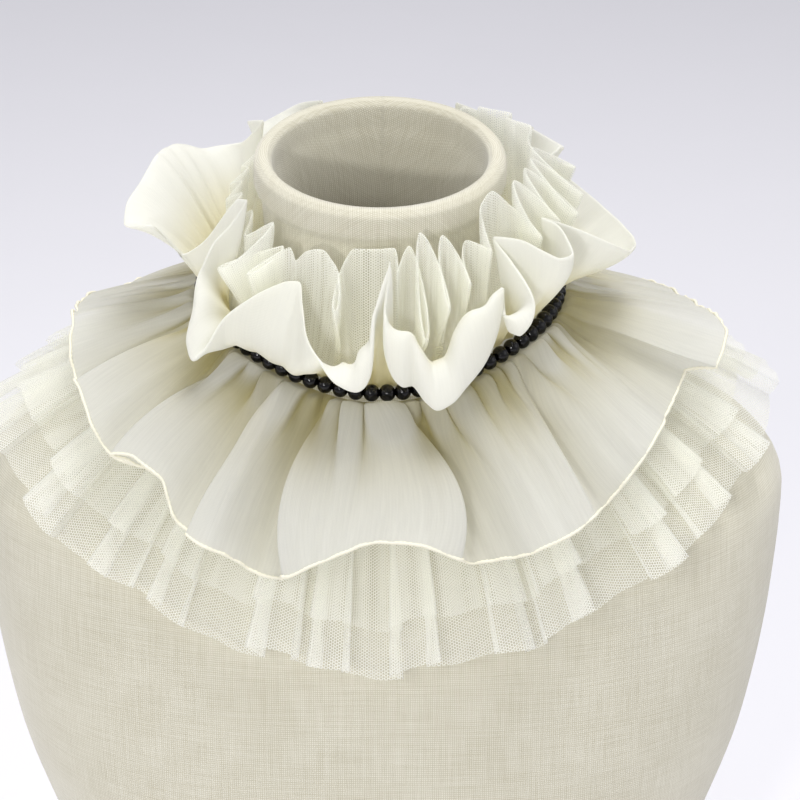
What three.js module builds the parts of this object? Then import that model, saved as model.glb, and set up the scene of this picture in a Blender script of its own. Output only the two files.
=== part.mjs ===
// Detachable ruffled collar of chiffon and net with a bead strand, on a linen dress form.
// Millimetres, +Z up, the front faces -Y. The origin is the middle of the form's flat base.
import * as THREE from 'three';

// ---------- driving sizes ----------
const RIM_HEIGHT = 440;            // middle of the neck rim above the base
const SEAM_DROP = 76.5;            // front of the gathering seam below the rim
const SEAM_RADIUS = 68;            // where the lower layers start
const SEAM_RISE_SIDE = 14.5;       // how far the seam climbs from the front to the sides
const SEAM_RISE_RATE = 3.8;
const SEAM_RISE_BACK = 2;          // extra climb to the back, times (1 - cos)^2
const OPENING_ANGLE = 178;         // every layer ends this far from the front, at the back opening
const DATUM = RIM_HEIGHT - SEAM_DROP;

const BEAD_DIAMETER = 6.3;
const BEAD_COUNT = 74;
const BEAD_PATH_RADIUS = 75.5;
const BEAD_LIFT = 0.8;             // bead centres above the seam
const BEAD_SIDES = 6;
const THREAD_RADIUS = 0.9;

const NET_LONG_LENGTH = 110;
const NET_SHORT_LENGTH = 92;
const FLOUNCE_LENGTH = 72;         // on the mean, its waves are measured at this length
const LOWER_COLUMNS = 108;
const LOWER_WALL = 1.6;
const LAYER_PITCH = 2.1;           // middle to middle of two layers at the seam
const ROOT_DROP = 9;               // the lower layers start this far under the seam line

const UPPER_WALL = 1.2;
const CHIFFON_COLUMNS = 118;
const NET_COLUMNS = 120;

const rad = (degrees) => degrees * Math.PI / 180;
const mix = (a, b, t) => a + (b - a) * t;
const ease = (t) => t * t * (3 - 2 * t);

// ---------- tables ----------
// Ridges and hollows of the chiffon flounce: angle from the front, rise at the hem, and how far
// the cloth reaches down from the seam there, shorter where it is taken up in a fold.
const FLOUNCE_WAVES = [
  { at: -180, rise: 12, reach: 68 }, { at: -167, rise: 3, reach: 72 },
  { at: -154, rise: 20, reach: 66 }, { at: -140, rise: 3, reach: 74 },
  { at: -126, rise: 20, reach: 66 }, { at: -112, rise: 3, reach: 66 },
  { at: -98, rise: 17, reach: 60 }, { at: -84, rise: 21, reach: 58 },
  { at: -69, rise: 2, reach: 66 }, { at: -62, rise: 17, reach: 65 },
  { at: -50, rise: 13, reach: 71 }, { at: -41, rise: 1, reach: 71 },
  { at: -31, rise: 11, reach: 80 }, { at: -21, rise: 0, reach: 80 },
  { at: -9, rise: 18, reach: 71 }, { at: 0, rise: 23, reach: 63 },
  { at: 8, rise: 18, reach: 66 }, { at: 20, rise: 0, reach: 75 },
  { at: 30, rise: 8, reach: 79 }, { at: 44, rise: 18, reach: 73 },
  { at: 56, rise: 20, reach: 66 }, { at: 66, rise: 13, reach: 63 },
  { at: 73, rise: 2, reach: 65 }, { at: 83, rise: 21, reach: 71 },
  { at: 93, rise: 21, reach: 65 }, { at: 105, rise: 4, reach: 68 },
  { at: 119, rise: 20, reach: 66 }, { at: 133, rise: 4, reach: 74 },
  { at: 147, rise: 20, reach: 66 }, { at: 163, rise: 3, reach: 72 },
  { at: 180, rise: 12, reach: 68 },
];

// Folded edge of the upper chiffon ruffle: angle, reach from the axis and height over the seam's
// front, then the belly that the cloth swings through on its way there.
const CHIFFON_LOBES = [
  { at: -180, reach: 76, height: 72, belly: 78, bellyHeight: 52 },
  { at: -170, reach: 102, height: 60, belly: 88, bellyHeight: 66 },
  { at: -158, reach: 72, height: 76, belly: 76, bellyHeight: 54 },
  { at: -147, reach: 102, height: 58, belly: 88, bellyHeight: 64 },
  { at: -135, reach: 73, height: 72, belly: 77, bellyHeight: 52 },
  { at: -122, reach: 92, height: 62, belly: 84, bellyHeight: 60 },
  { at: -109, reach: 97, height: 67, belly: 84, bellyHeight: 60 },
  { at: -96, reach: 96, height: 69, belly: 86, bellyHeight: 62 },
  { at: -81, reach: 107, height: 50, belly: 90, bellyHeight: 58 },
  { at: -73, reach: 78, height: 47, belly: 84, bellyHeight: 36 },
  { at: -65, reach: 90, height: 46, belly: 90, bellyHeight: 38 },
  { at: -56, reach: 66, height: 68, belly: 74, bellyHeight: 44 },
  { at: -46, reach: 104, height: 15, belly: 85, bellyHeight: 52 },
  { at: -30, reach: 67, height: 42, belly: 84, bellyHeight: 30 },
  { at: -10, reach: 104, height: 18, belly: 86, bellyHeight: 46 },
  { at: 3, reach: 69, height: 56, belly: 76, bellyHeight: 34 },
  { at: 14, reach: 104, height: 8, belly: 85, bellyHeight: 44 },
  { at: 38, reach: 83, height: 43, belly: 98, bellyHeight: 28 },
  { at: 45, reach: 66, height: 56, belly: 98, bellyHeight: 28 },
  { at: 59, reach: 90, height: 49, belly: 96, bellyHeight: 30 },
  { at: 67, reach: 75, height: 59, belly: 82, bellyHeight: 40 },
  { at: 82, reach: 107, height: 40, belly: 90, bellyHeight: 56 },
  { at: 96, reach: 88, height: 54, belly: 84, bellyHeight: 48 },
  { at: 114, reach: 92, height: 62, belly: 84, bellyHeight: 56 },
  { at: 127, reach: 79, height: 72, belly: 78, bellyHeight: 52 },
  { at: 140, reach: 99, height: 60, belly: 87, bellyHeight: 62 },
  { at: 153, reach: 72, height: 76, belly: 76, bellyHeight: 54 },
  { at: 167, reach: 102, height: 58, belly: 88, bellyHeight: 64 },
  { at: 180, reach: 76, height: 72, belly: 78, bellyHeight: 52 },
];

// Dress form from the rim down: level, half width, depth to the front and to the back, forward
// tilt of the section, roundness (2 is an ellipse), and the wall inward and downward.
const FORM_SECTIONS = [
  { z: 440, half: 50.6, front: 50.6, back: 50.6, tilt: 0.14, round: 2, wallIn: 3.8, wallDown: 0 },
  { z: 437.5, half: 52.6, front: 52.6, back: 52.6, tilt: 0.14, round: 2, wallIn: 7.4, wallDown: 0 },
  { z: 430, half: 53, front: 53, back: 53, tilt: 0.14, round: 2, wallIn: 8.2, wallDown: 0 },
  { z: 424, half: 50.2, front: 50.2, back: 50.2, tilt: 0.13, round: 2, wallIn: 6, wallDown: 0 },
  { z: 398, half: 48.5, front: 49, back: 50, tilt: 0.1, round: 2, wallIn: 6, wallDown: 0 },
  { z: 380, half: 51, front: 51, back: 54, tilt: 0.06, round: 2, wallIn: 6, wallDown: 2 },
  { z: 367, half: 60, front: 55, back: 60, tilt: 0.02, round: 2, wallIn: 5, wallDown: 5 },
  { z: 350, half: 96, front: 68, back: 76, tilt: 0, round: 1.9, wallIn: 4, wallDown: 6 },
  { z: 334, half: 132, front: 82, back: 88, tilt: 0, round: 1.7, wallIn: 4, wallDown: 6 },
  { z: 317, half: 161, front: 94, back: 97, tilt: 0, round: 1.8, wallIn: 5, wallDown: 5 },
  { z: 292, half: 175, front: 108, back: 104, tilt: 0, round: 2.1, wallIn: 6, wallDown: 1 },
  { z: 250, half: 172, front: 119, back: 106, tilt: 0, round: 2.3, wallIn: 6, wallDown: 0 },
  { z: 195, half: 163, front: 125, back: 102, tilt: 0, round: 2.4, wallIn: 6, wallDown: 0 },
  { z: 120, half: 142, front: 115, back: 90, tilt: 0, round: 2.3, wallIn: 6, wallDown: 0 },
  { z: 10.3, half: 124, front: 98, back: 82, tilt: 0, round: 2.2, wallIn: 6, wallDown: 0 },
];
const FORM_HALF_COLUMNS = 14;
const FORM_JOIN_GAP = 0.3;
const BASE_THICKNESS = 10;

// ---------- meshes ----------
function solid(name, vertices, triangles, material) {
  let volume = 0;
  for (const [a, b, c] of triangles) {
    volume += vertices[a].dot(new THREE.Vector3().crossVectors(vertices[b], vertices[c]));
  }
  const index = triangles.flatMap(([a, b, c]) => (volume > 0 ? [a, b, c] : [a, c, b]));
  const geometry = new THREE.BufferGeometry();
  const flat = vertices.flatMap((v) => [v.x, v.y, v.z]);
  geometry.setAttribute('position', new THREE.Float32BufferAttribute(flat, 3));
  geometry.setIndex(index);
  geometry.computeVertexNormals();
  const mesh = new THREE.Mesh(geometry, material);
  mesh.name = name;
  return mesh;
}

// A wall between two grids of the same size: faces[column][row] outside and inside.
function wallSolid(name, outer, inner, material) {
  const columns = outer.length;
  const rows = outer[0].length;
  const vertices = [...outer.flat(), ...inner.flat()];
  const shift = columns * rows;
  const out = (i, j) => i * rows + j;
  const back = (i, j) => shift + i * rows + j;
  const triangles = [];
  const quad = (a, b, c, d) => triangles.push([a, b, c], [a, c, d]);
  for (let i = 0; i < columns - 1; i += 1) {
    for (let j = 0; j < rows - 1; j += 1) {
      quad(out(i, j), out(i + 1, j), out(i + 1, j + 1), out(i, j + 1));
      quad(back(i, j), back(i, j + 1), back(i + 1, j + 1), back(i + 1, j));
    }
    quad(out(i, 0), back(i, 0), back(i + 1, 0), out(i + 1, 0));
    quad(out(i, rows - 1), out(i + 1, rows - 1), back(i + 1, rows - 1), back(i, rows - 1));
  }
  for (let j = 0; j < rows - 1; j += 1) {
    quad(out(0, j), out(0, j + 1), back(0, j + 1), back(0, j));
    quad(out(columns - 1, j), back(columns - 1, j), back(columns - 1, j + 1), out(columns - 1, j + 1));
  }
  return solid(name, vertices, triangles, material);
}

// A closed round bar through the stations {centre, along, radius}.
function barSolid(name, stations, sides, material) {
  const vertices = [];
  const triangles = [];
  for (const { centre, along, radius } of stations) {
    const up = new THREE.Vector3(0, 0, 1);
    const side = new THREE.Vector3().crossVectors(along, up).normalize();
    const top = new THREE.Vector3().crossVectors(side, along).normalize();
    for (let k = 0; k < sides; k += 1) {
      const turn = 2 * Math.PI * (k + 0.5) / sides;
      vertices.push(centre.clone()
        .addScaledVector(side, radius * Math.cos(turn))
        .addScaledVector(top, radius * Math.sin(turn)));
    }
  }
  for (let i = 0; i < stations.length - 1; i += 1) {
    for (let k = 0; k < sides; k += 1) {
      const a = i * sides + k;
      const b = i * sides + (k + 1) % sides;
      triangles.push([a, b, b + sides], [a, b + sides, a + sides]);
    }
  }
  const last = (stations.length - 1) * sides;
  for (let k = 1; k < sides - 1; k += 1) {
    triangles.push([0, k + 1, k], [last, last + k, last + k + 1]);
  }
  return solid(name, vertices, triangles, material);
}

// ---------- the neck line ----------
const seamHeight = (angle) => {
  const u = 1 - Math.cos(rad(angle));
  return DATUM + SEAM_RISE_SIDE * (1 - Math.exp(-SEAM_RISE_RATE * u)) + SEAM_RISE_BACK * u * u;
};
const place = (angle, reach, z) => (
  new THREE.Vector3(reach * Math.sin(rad(angle)), -reach * Math.cos(rad(angle)), z));
const columnAngle = (i, count) => mix(-OPENING_ANGLE, OPENING_ANGLE, i / count);

function tableAt(table, angle, key) {
  let k = 0;
  while (k < table.length - 2 && table[k + 1].at < angle) k += 1;
  const t = ease((angle - table[k].at) / (table[k + 1].at - table[k].at));
  return mix(table[k][key], table[k + 1][key], t);
}

// ---------- lower layers: one guide line in each half plane, layers lifted off it ----------
const FRONT_SLOPE = 35;            // how much steeper the cloth hangs at front and back
const SIDE_SLOPE = 21;
const SLOPE_TURN = 20;             // the slope grows this much from the seam to the long hem
const guideSlope = (angle, length) => {
  const facing = (Math.cos(rad(angle)) ** 2 + 0.01) ** 0.5;
  return SIDE_SLOPE + FRONT_SLOPE * facing + SLOPE_TURN * (length / NET_LONG_LENGTH - 0.5);
};

function guidePoint(angle, length, lift) {
  const steps = 12;
  let reach = SEAM_RADIUS;
  let z = seamHeight(angle) - ROOT_DROP;
  for (let k = 0; k < steps; k += 1) {
    const slope = rad(guideSlope(angle, length * (k + 0.5) / steps));
    reach += length / steps * Math.cos(slope);
    z -= length / steps * Math.sin(slope);
  }
  const mean = rad(guideSlope(angle, length / 2));
  return place(angle, reach + lift * Math.sin(mean), z + lift * Math.cos(mean));
}

// Pleats of a net layer: narrow flutes, unevenly spaced and unevenly high.
const NET_PLEATS = 26;
const PLEAT_RISE = 9;
const PLEAT_SPREAD = 4;
const PLEAT_HALF_WIDTH = 5;
function pleatRise(angle, phase) {
  let rise = 0;
  for (let k = 0; k < NET_PLEATS; k += 1) {
    const at = -180 + 360 * (k + 0.5) / NET_PLEATS + 3 * Math.sin(2.4 * k + phase);
    const high = PLEAT_RISE + PLEAT_SPREAD * Math.sin(1.7 * k + 1 + phase);
    const near = 1 - Math.abs(angle - at) / (PLEAT_HALF_WIDTH + 1.2 * Math.sin(3.1 * k));
    if (near > 0) rise = Math.max(rise, high * near);
  }
  return rise;
}

const SHORT_PLEAT_SHARE = 0.4;     // the short layer's own flutes over those below it
const CHIFFON_LIFT = 18;           // the flounce lies this high over the guide at the long hem
const longLift = (angle, length) => pleatRise(angle, 0) * length / NET_LONG_LENGTH;
const shortLift = (angle, length) => longLift(angle, length) + LAYER_PITCH
  + SHORT_PLEAT_SHARE * pleatRise(angle, 2.2) * length / NET_SHORT_LENGTH;
const flounceLift = (angle, length) => 2 * LAYER_PITCH
  + CHIFFON_LIFT * length / NET_LONG_LENGTH
  + tableAt(FLOUNCE_WAVES, angle, 'rise') * (length / FLOUNCE_LENGTH) ** 1.2;

const flounceReach = (angle) => tableAt(FLOUNCE_WAVES, angle, 'reach');

function lowerLayer(name, lengthAt, rows, lift, material) {
  const grid = (side) => Array.from({ length: LOWER_COLUMNS + 1 }, (_, i) => {
    const angle = columnAngle(i, LOWER_COLUMNS);
    return Array.from({ length: rows + 1 }, (__, j) => {
      const along = lengthAt(angle) * j / rows;
      return guidePoint(angle, along, lift(angle, along) + side * LOWER_WALL / 2);
    });
  });
  return wallSolid(name, grid(1), grid(-1), material);
}

// ---------- upper ruffles: a swung line in each half plane ----------
const ROOT_LIFT = 1;               // upper layers start this far over the seam line
const STEM = 14;                   // the cloth stands this long before it swings out
const CHIFFON_ROOT = 69;
const NET_ROOT = 67;

function swung(angle, root, belly, edge, t) {
  const start = [root, seamHeight(angle) + ROOT_LIFT];
  const stem = [root + 1, start[1] + STEM];
  const weights = [(1 - t) ** 3, 3 * t * (1 - t) ** 2, 3 * t * t * (1 - t), t ** 3];
  const sum = (k) => [start, stem, belly, edge].reduce((s, p, n) => s + weights[n] * p[k], 0);
  return place(angle, sum(0), sum(1));
}

const chiffonPoint = (angle, t) => {
  const read = (key) => tableAt(CHIFFON_LOBES, angle, key);
  const belly = [read('belly'), DATUM + read('bellyHeight')];
  const edge = [read('reach'), DATUM + read('height')];
  return swung(angle, CHIFFON_ROOT, belly, edge, t);
};

const NET_WAVES = 30;
const NET_EDGE_REACH = 57.5;
const NET_EDGE_RISE = 55;          // folded edge over the seam
const NET_EDGE_WAVE = 3.6;
const NET_FOLLOW = 0.22;           // how far the net's loops follow the chiffon's lobes out
const netPoint = (angle, t) => {
  const phase = rad(angle) * NET_WAVES + 1.1 * Math.sin(rad(angle) * 5 + 0.6);
  const lobe = Math.max(0, tableAt(CHIFFON_LOBES, angle, 'reach') - 68);
  const wave = Math.cos(phase) * NET_EDGE_WAVE + (1 + Math.cos(phase)) * NET_FOLLOW * lobe / 2;
  const lift = 3 * Math.sin(phase * 0.5 + 1) + NET_EDGE_RISE;
  const edge = [NET_EDGE_REACH + wave, seamHeight(angle) + lift];
  const belly = [NET_EDGE_REACH + 4 + wave * 0.6, seamHeight(angle) + lift * 0.62];
  return swung(angle, NET_ROOT, belly, edge, t);
};

function upperRuffle(name, columns, rows, surface, material) {
  const step = 0.6;
  const bow = 0.012;
  const grid = (side) => Array.from({ length: columns + 1 }, (_, i) => {
    const angle = columnAngle(i, columns);
    return Array.from({ length: rows + 1 }, (__, j) => {
      const t = j / rows;
      const along = surface(angle, Math.min(1, t + bow)).sub(surface(angle, Math.max(0, t - bow)));
      const across = surface(angle + step, t).sub(surface(angle - step, t));
      const normal = new THREE.Vector3().crossVectors(across, along).normalize();
      return surface(angle, t).addScaledVector(normal, side * UPPER_WALL / 2);
    });
  });
  return wallSolid(name, grid(1), grid(-1), material);
}

// ---------- neck band, beads, closure ----------
const BAND_REACH = 64.6;
const BAND_WALL = 1.4;
const BAND_HEIGHT = 12;
const BAND_COLUMNS = 40;

function neckBand(material) {
  const grid = (side) => Array.from({ length: BAND_COLUMNS + 1 }, (_, i) => {
    const angle = columnAngle(i, BAND_COLUMNS);
    return [-0.5, 0.5].map((end) => place(angle, BAND_REACH + side * BAND_WALL / 2,
      seamHeight(angle) - 1 + end * BAND_HEIGHT));
  });
  return wallSolid('neck_band', grid(1), grid(-1), material);
}

function beadStrand(material) {
  const stations = [];
  const pitch = 2 * OPENING_ANGLE / BEAD_COUNT;
  const spot = (angle) => place(angle, BEAD_PATH_RADIUS, seamHeight(angle) + BEAD_LIFT);
  const shoulder = BEAD_DIAMETER / 2 * 0.97;
  for (let k = 0; k <= BEAD_COUNT; k += 1) {
    const knot = -OPENING_ANGLE + k * pitch;
    const profile = [[0, THREAD_RADIUS], [0.27, shoulder], [0.73, shoulder]];
    for (const [share, radius] of k < BEAD_COUNT ? profile : profile.slice(0, 1)) {
      const angle = knot + share * pitch;
      const along = spot(angle + 0.5).sub(spot(angle - 0.5)).normalize();
      stations.push({ centre: spot(angle), along, radius });
    }
  }
  return barSolid('bead_strand', stations, BEAD_SIDES, material);
}

const WIRE_RADIUS = 0.6;
const CLOSURE_REACH = 62.2;
const EYE_RADIUS = 2.6;
function closureEye(material) {
  const centre = place(174.5, CLOSURE_REACH, seamHeight(180) - 1);
  const points = Array.from({ length: 11 }, (_, k) => {
    const turn = rad(-150 + 300 * k / 10);
    return centre.clone().add(new THREE.Vector3(-EYE_RADIUS * Math.cos(turn), 0, EYE_RADIUS * Math.sin(turn)));
  });
  return wireSolid('closure_eye', points, material);
}

function closureHook(material) {
  const centre = place(-173, CLOSURE_REACH, seamHeight(180) - 1);
  const shape = [[-3.4, 0, 1.6], [0, 0, 1.6], [3, 0, 0.9], [3.8, -0.8, 0], [2.6, -2, 0], [0.4, -2, 0]];
  const points = shape.map(([x, y, z]) => centre.clone().add(new THREE.Vector3(-x, y, z)));
  return wireSolid('closure_hook', points, material);
}

function wireSolid(name, points, material) {
  const curve = new THREE.CatmullRomCurve3(points);
  const count = 10;
  const frames = curve.computeFrenetFrames(count, false);
  const vertices = [];
  const triangles = [];
  const sides = 5;
  for (let i = 0; i <= count; i += 1) {
    const centre = curve.getPointAt(i / count);
    for (let k = 0; k < sides; k += 1) {
      const turn = 2 * Math.PI * k / sides;
      vertices.push(centre.clone()
        .addScaledVector(frames.normals[i], WIRE_RADIUS * Math.cos(turn))
        .addScaledVector(frames.binormals[i], WIRE_RADIUS * Math.sin(turn)));
    }
  }
  for (let i = 0; i < count; i += 1) {
    for (let k = 0; k < sides; k += 1) {
      const a = i * sides + k;
      const b = i * sides + (k + 1) % sides;
      triangles.push([a, b, b + sides], [a, b + sides, a + sides]);
    }
  }
  const last = count * sides;
  for (let k = 1; k < sides - 1; k += 1) {
    triangles.push([0, k + 1, k], [last, last + k, last + k + 1]);
  }
  return solid(name, vertices, triangles, material);
}

// ---------- dress form ----------
function formPoint(section, turn, inward, down, facing) {
  const power = 2 / section.round;
  const sin = Math.sin(turn);
  const cos = Math.cos(turn);
  const x = (section.half - inward) * Math.sign(sin) * Math.abs(sin) ** power;
  const deep = (facing < 0 ? section.front : section.back) - inward;
  const y = facing * (deep * Math.abs(cos) ** power + FORM_JOIN_GAP / 2);
  return new THREE.Vector3(x, y, section.z - down + section.tilt * y);
}

function formHalf(name, facing, material) {
  const grid = (inner) => Array.from({ length: FORM_HALF_COLUMNS + 1 }, (_, i) => {
    const turn = mix(-Math.PI / 2, Math.PI / 2, i / FORM_HALF_COLUMNS);
    return FORM_SECTIONS.map((section) => (
      formPoint(section, turn, inner * section.wallIn, inner * section.wallDown, facing)));
  });
  return wallSolid(name, grid(0), grid(1), material);
}

function formBase(material) {
  const foot = FORM_SECTIONS[FORM_SECTIONS.length - 1];
  const ring = (z) => [-1, 1].flatMap((facing) => Array.from({ length: FORM_HALF_COLUMNS }, (_, i) => {
    const turn = facing * mix(Math.PI / 2, -Math.PI / 2, i / FORM_HALF_COLUMNS);
    const point = formPoint(foot, turn, 0, 0, facing);
    return new THREE.Vector3(point.x, point.y, z);
  }));
  const vertices = [...ring(0), ...ring(BASE_THICKNESS)];
  const count = vertices.length / 2;
  const triangles = [];
  for (let k = 0; k < count; k += 1) {
    const next = (k + 1) % count;
    triangles.push([k, next, count + next], [k, count + next, count + k]);
  }
  for (let k = 1; k < count - 1; k += 1) {
    triangles.push([0, k + 1, k], [count, count + k, count + k + 1]);
  }
  return solid('form_base', vertices, triangles, material);
}

// ---------- assembly ----------
const finish = (color, roughness, metalness = 0) => (
  new THREE.MeshStandardMaterial({ color, roughness, metalness, side: THREE.DoubleSide }));

const group = new THREE.Group();
group.name = 'ruffled_collar_on_form';
group.add(
  formHalf('form_front', -1, finish('#cfc8b4', 0.9)),
  formHalf('form_back', 1, finish('#cfc8b4', 0.9)),
  formBase(finish('#b99b6b', 0.7)),
  neckBand(finish('#f1eedd', 0.7)),
  lowerLayer('lower_net_long', () => NET_LONG_LENGTH, 6, longLift, finish('#e9e8e2', 0.8)),
  lowerLayer('lower_net_short', () => NET_SHORT_LENGTH, 5, shortLift, finish('#eeede6', 0.8)),
  lowerLayer('lower_chiffon_flounce', flounceReach, 4, flounceLift, finish('#f5f2e2', 0.6)),
  beadStrand(finish('#0b0b0c', 0.15)),
  upperRuffle('upper_net_ruffle', NET_COLUMNS, 3, netPoint, finish('#efeee2', 0.8)),
  upperRuffle('upper_chiffon_ruffle', CHIFFON_COLUMNS, 5, chiffonPoint, finish('#f7f5e8', 0.6)),
  closureHook(finish('#b9bcc0', 0.3, 1)),
  closureEye(finish('#b9bcc0', 0.3, 1)),
);

export default group;
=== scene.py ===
"""A detachable collar of chiffon and net ruffles with a bead strand, on a linen dress form.

Lengths are worked out in millimetres and written to the meshes in metres. Angles are degrees round
the neck, from 0 at the front to +90 at the wearer's left (+X) and 180 at the back opening.
"""

import logging
import math
from dataclasses import dataclass
from enum import Enum
from typing import Callable, Optional, Sequence

import bmesh
import bpy
import numpy as np
from mathutils import Euler, Matrix, Vector


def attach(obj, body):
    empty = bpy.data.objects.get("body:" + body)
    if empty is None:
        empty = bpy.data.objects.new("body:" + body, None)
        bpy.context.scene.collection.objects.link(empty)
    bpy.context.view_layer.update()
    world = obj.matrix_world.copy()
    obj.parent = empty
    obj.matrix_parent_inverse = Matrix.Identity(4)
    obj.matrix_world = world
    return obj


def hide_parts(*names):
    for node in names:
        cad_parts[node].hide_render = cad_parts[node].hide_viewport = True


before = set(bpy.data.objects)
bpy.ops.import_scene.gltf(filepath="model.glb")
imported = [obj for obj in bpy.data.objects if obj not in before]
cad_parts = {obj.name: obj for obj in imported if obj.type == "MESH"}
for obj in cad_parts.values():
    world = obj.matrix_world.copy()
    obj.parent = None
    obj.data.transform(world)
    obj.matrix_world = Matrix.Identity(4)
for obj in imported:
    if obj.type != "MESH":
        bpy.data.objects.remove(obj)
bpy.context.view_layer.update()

logging.basicConfig(level=logging.INFO, format="%(message)s")
LOG = logging.getLogger("collar")

MM = 0.001
ROOT_BODY = "root"
CLOTH_ATTRIBUTE = "cloth"
OPENING_ANGLE = 178.0
WELD = 0.01 * MM

Array = np.ndarray
Columns = tuple[float, ...]


# --------------------------------------------------------------------------------------
# Numbers
# --------------------------------------------------------------------------------------
def srgb(code: str) -> tuple[float, float, float, float]:
    """Turns a colour as picked on a screen into linear light.

    Args:
        code: "#rrggbb".

    Returns:
        Linear red, green, blue and an alpha of 1.
    """
    values = [int(code[k : k + 2], 16) / 255 for k in (1, 3, 5)]
    linear = [v / 12.92 if v <= 0.04045 else ((v + 0.055) / 1.055) ** 2.4 for v in values]
    return (linear[0], linear[1], linear[2], 1.0)


def ease(t: Array) -> Array:
    """Smooth step from 0 to 1.

    Args:
        t: Share of the way.

    Returns:
        The eased share.
    """
    t = np.clip(t, 0.0, 1.0)
    return t * t * (3 - 2 * t)


@dataclass(frozen=True)
class FoldTable:
    """Sizes given at a few angles round the neck, eased between them.

    Attributes:
        keys: Names of the columns after the angle.
        rows: One row a fold: the angle, then a value for each key.
    """

    keys: tuple[str, ...]
    rows: tuple[Columns, ...]

    def read(self, key: str, angle: Array) -> Array:
        """Reads one column.

        Args:
            key: The column's name.
            angle: Degrees from the front.

        Returns:
            The column's value at each angle.
        """
        at = [row[0] for row in self.rows]
        values = [row[1 + self.keys.index(key)] for row in self.rows]
        return smooth_through(at, values, angle)


def smooth_through(at: Sequence[float], values: Sequence[float], x: Array) -> Array:
    """A smooth curve through given points.

    Args:
        at: Rising stations.
        values: The value at each station.
        x: Where to read the curve.

    Returns:
        The curve's value at x.
    """
    at_, values_ = np.asarray(at, float), np.asarray(values, float)
    steps = np.diff(at_)
    rates = np.diff(values_) / steps
    slopes = np.empty_like(values_)
    slopes[0], slopes[-1] = rates[0], rates[-1]
    same = rates[:-1] * rates[1:] > 0
    harmonic = 2 * rates[:-1] * rates[1:] / np.where(same, rates[:-1] + rates[1:], 1.0)
    slopes[1:-1] = np.where(same, harmonic, 0.0)
    k = np.clip(np.searchsorted(at_, x) - 1, 0, len(at_) - 2)
    t = (x - at_[k]) / steps[k]
    a = values_[k] * (1 + 2 * t) * (1 - t) ** 2 + slopes[k] * steps[k] * t * (1 - t) ** 2
    b = values_[k + 1] * t * t * (3 - 2 * t) - slopes[k + 1] * steps[k] * t * t * (1 - t)
    return a + b


def ripple(x: Array, *waves: Columns) -> Array:
    """A sum of sine waves, uneven as cloth is.

    Args:
        x: Where to read it, in radians.
        waves: Height, number of waves and phase of each.

    Returns:
        The sum at x.
    """
    return sum(height * np.sin(number * x + phase) for height, number, phase in waves)


def varied(mean: float, x: Array) -> Array:
    """A strength that differs from fold to fold and is 1 at most.

    Args:
        mean: Its mean.
        x: Tells the folds apart, in radians.

    Returns:
        The strength at x.
    """
    return mean + (1 - mean) * np.sin(x)


def around(angle: Array, reach: Array, height: Array) -> Array:
    """Points round the upright axis.

    Args:
        angle: Degrees from the front.
        reach: Distance from the axis.
        height: Height above the floor.

    Returns:
        X, Y, Z in the last axis.
    """
    turn = np.radians(angle)
    return np.stack([reach * np.sin(turn), -reach * np.cos(turn), height + 0 * turn], axis=-1)


# --------------------------------------------------------------------------------------
# The shared lines of the collar
# --------------------------------------------------------------------------------------
@dataclass(frozen=True)
class Seam:
    """The gathering seam round the neck, which climbs from the front to the back.

    Attributes:
        datum: Its height at the front, above the floor.
        radius: Its distance from the axis.
        rise_side: How far it climbs to the sides.
        rise_rate: How soon it does.
        rise_back: Its slow climb from there to the back.
    """

    datum: float = 363.5
    radius: float = 68.0
    rise_side: float = 14.5
    rise_rate: float = 3.8
    rise_back: float = 2.0

    def height(self, angle: Array) -> Array:
        """Height of the seam.

        Args:
            angle: Degrees from the front.

        Returns:
            Millimetres above the floor.
        """
        u = 1 - np.cos(np.radians(angle))
        climb = self.rise_side * (1 - np.exp(-self.rise_rate * u))
        return self.datum + climb + self.rise_back * u * u


SEAM = Seam()


@dataclass(frozen=True)
class Guide:
    """The line that the lower layers hang along in each half plane.

    Attributes:
        net_long: Length of the long net.
        net_short: Length of the short net.
        flounce: Mean length of the chiffon flounce.
        root_drop: How far below the seam the line starts.
        side_slope: How steeply it falls over the shoulders, in degrees.
        front_slope: How much more at the front and back.
        slope_turn: How much it steepens on its way.
        corner: Softens the change from front to side.
        steps: Straight pieces that the line is added up from.
    """

    net_long: float = 110.0
    net_short: float = 92.0
    flounce: float = 72.0
    root_drop: float = 9.0
    side_slope: float = 21.0
    front_slope: float = 35.0
    slope_turn: float = 20.0
    corner: float = 0.1
    steps: int = 12

    def slope(self, angle: Array, length: Array) -> Array:
        """How steeply the line falls.

        Args:
            angle: Degrees from the front.
            length: Way down from the seam.

        Returns:
            Degrees below the horizon.
        """
        facing = np.sqrt(np.cos(np.radians(angle)) ** 2 + self.corner**2)
        turn = self.slope_turn * (length / self.net_long - 0.5)
        return self.side_slope + self.front_slope * facing + turn

    def point(self, angle: Array, length: Array, lift: Array) -> Array:
        """A point on a layer.

        Args:
            angle: Degrees from the front.
            length: Way down from the seam.
            lift: Distance off the guide line.

        Returns:
            X, Y, Z.
        """
        reach = SEAM.radius + 0 * length
        height = SEAM.height(angle) - self.root_drop
        for k in range(self.steps):
            slope = np.radians(self.slope(angle, length * (k + 0.5) / self.steps))
            reach = reach + length / self.steps * np.cos(slope)
            height = height - length / self.steps * np.sin(slope)
        mean = np.radians(self.slope(angle, length / 2))
        return around(angle, reach + lift * np.sin(mean), height + lift * np.cos(mean))


GUIDE = Guide()

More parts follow.
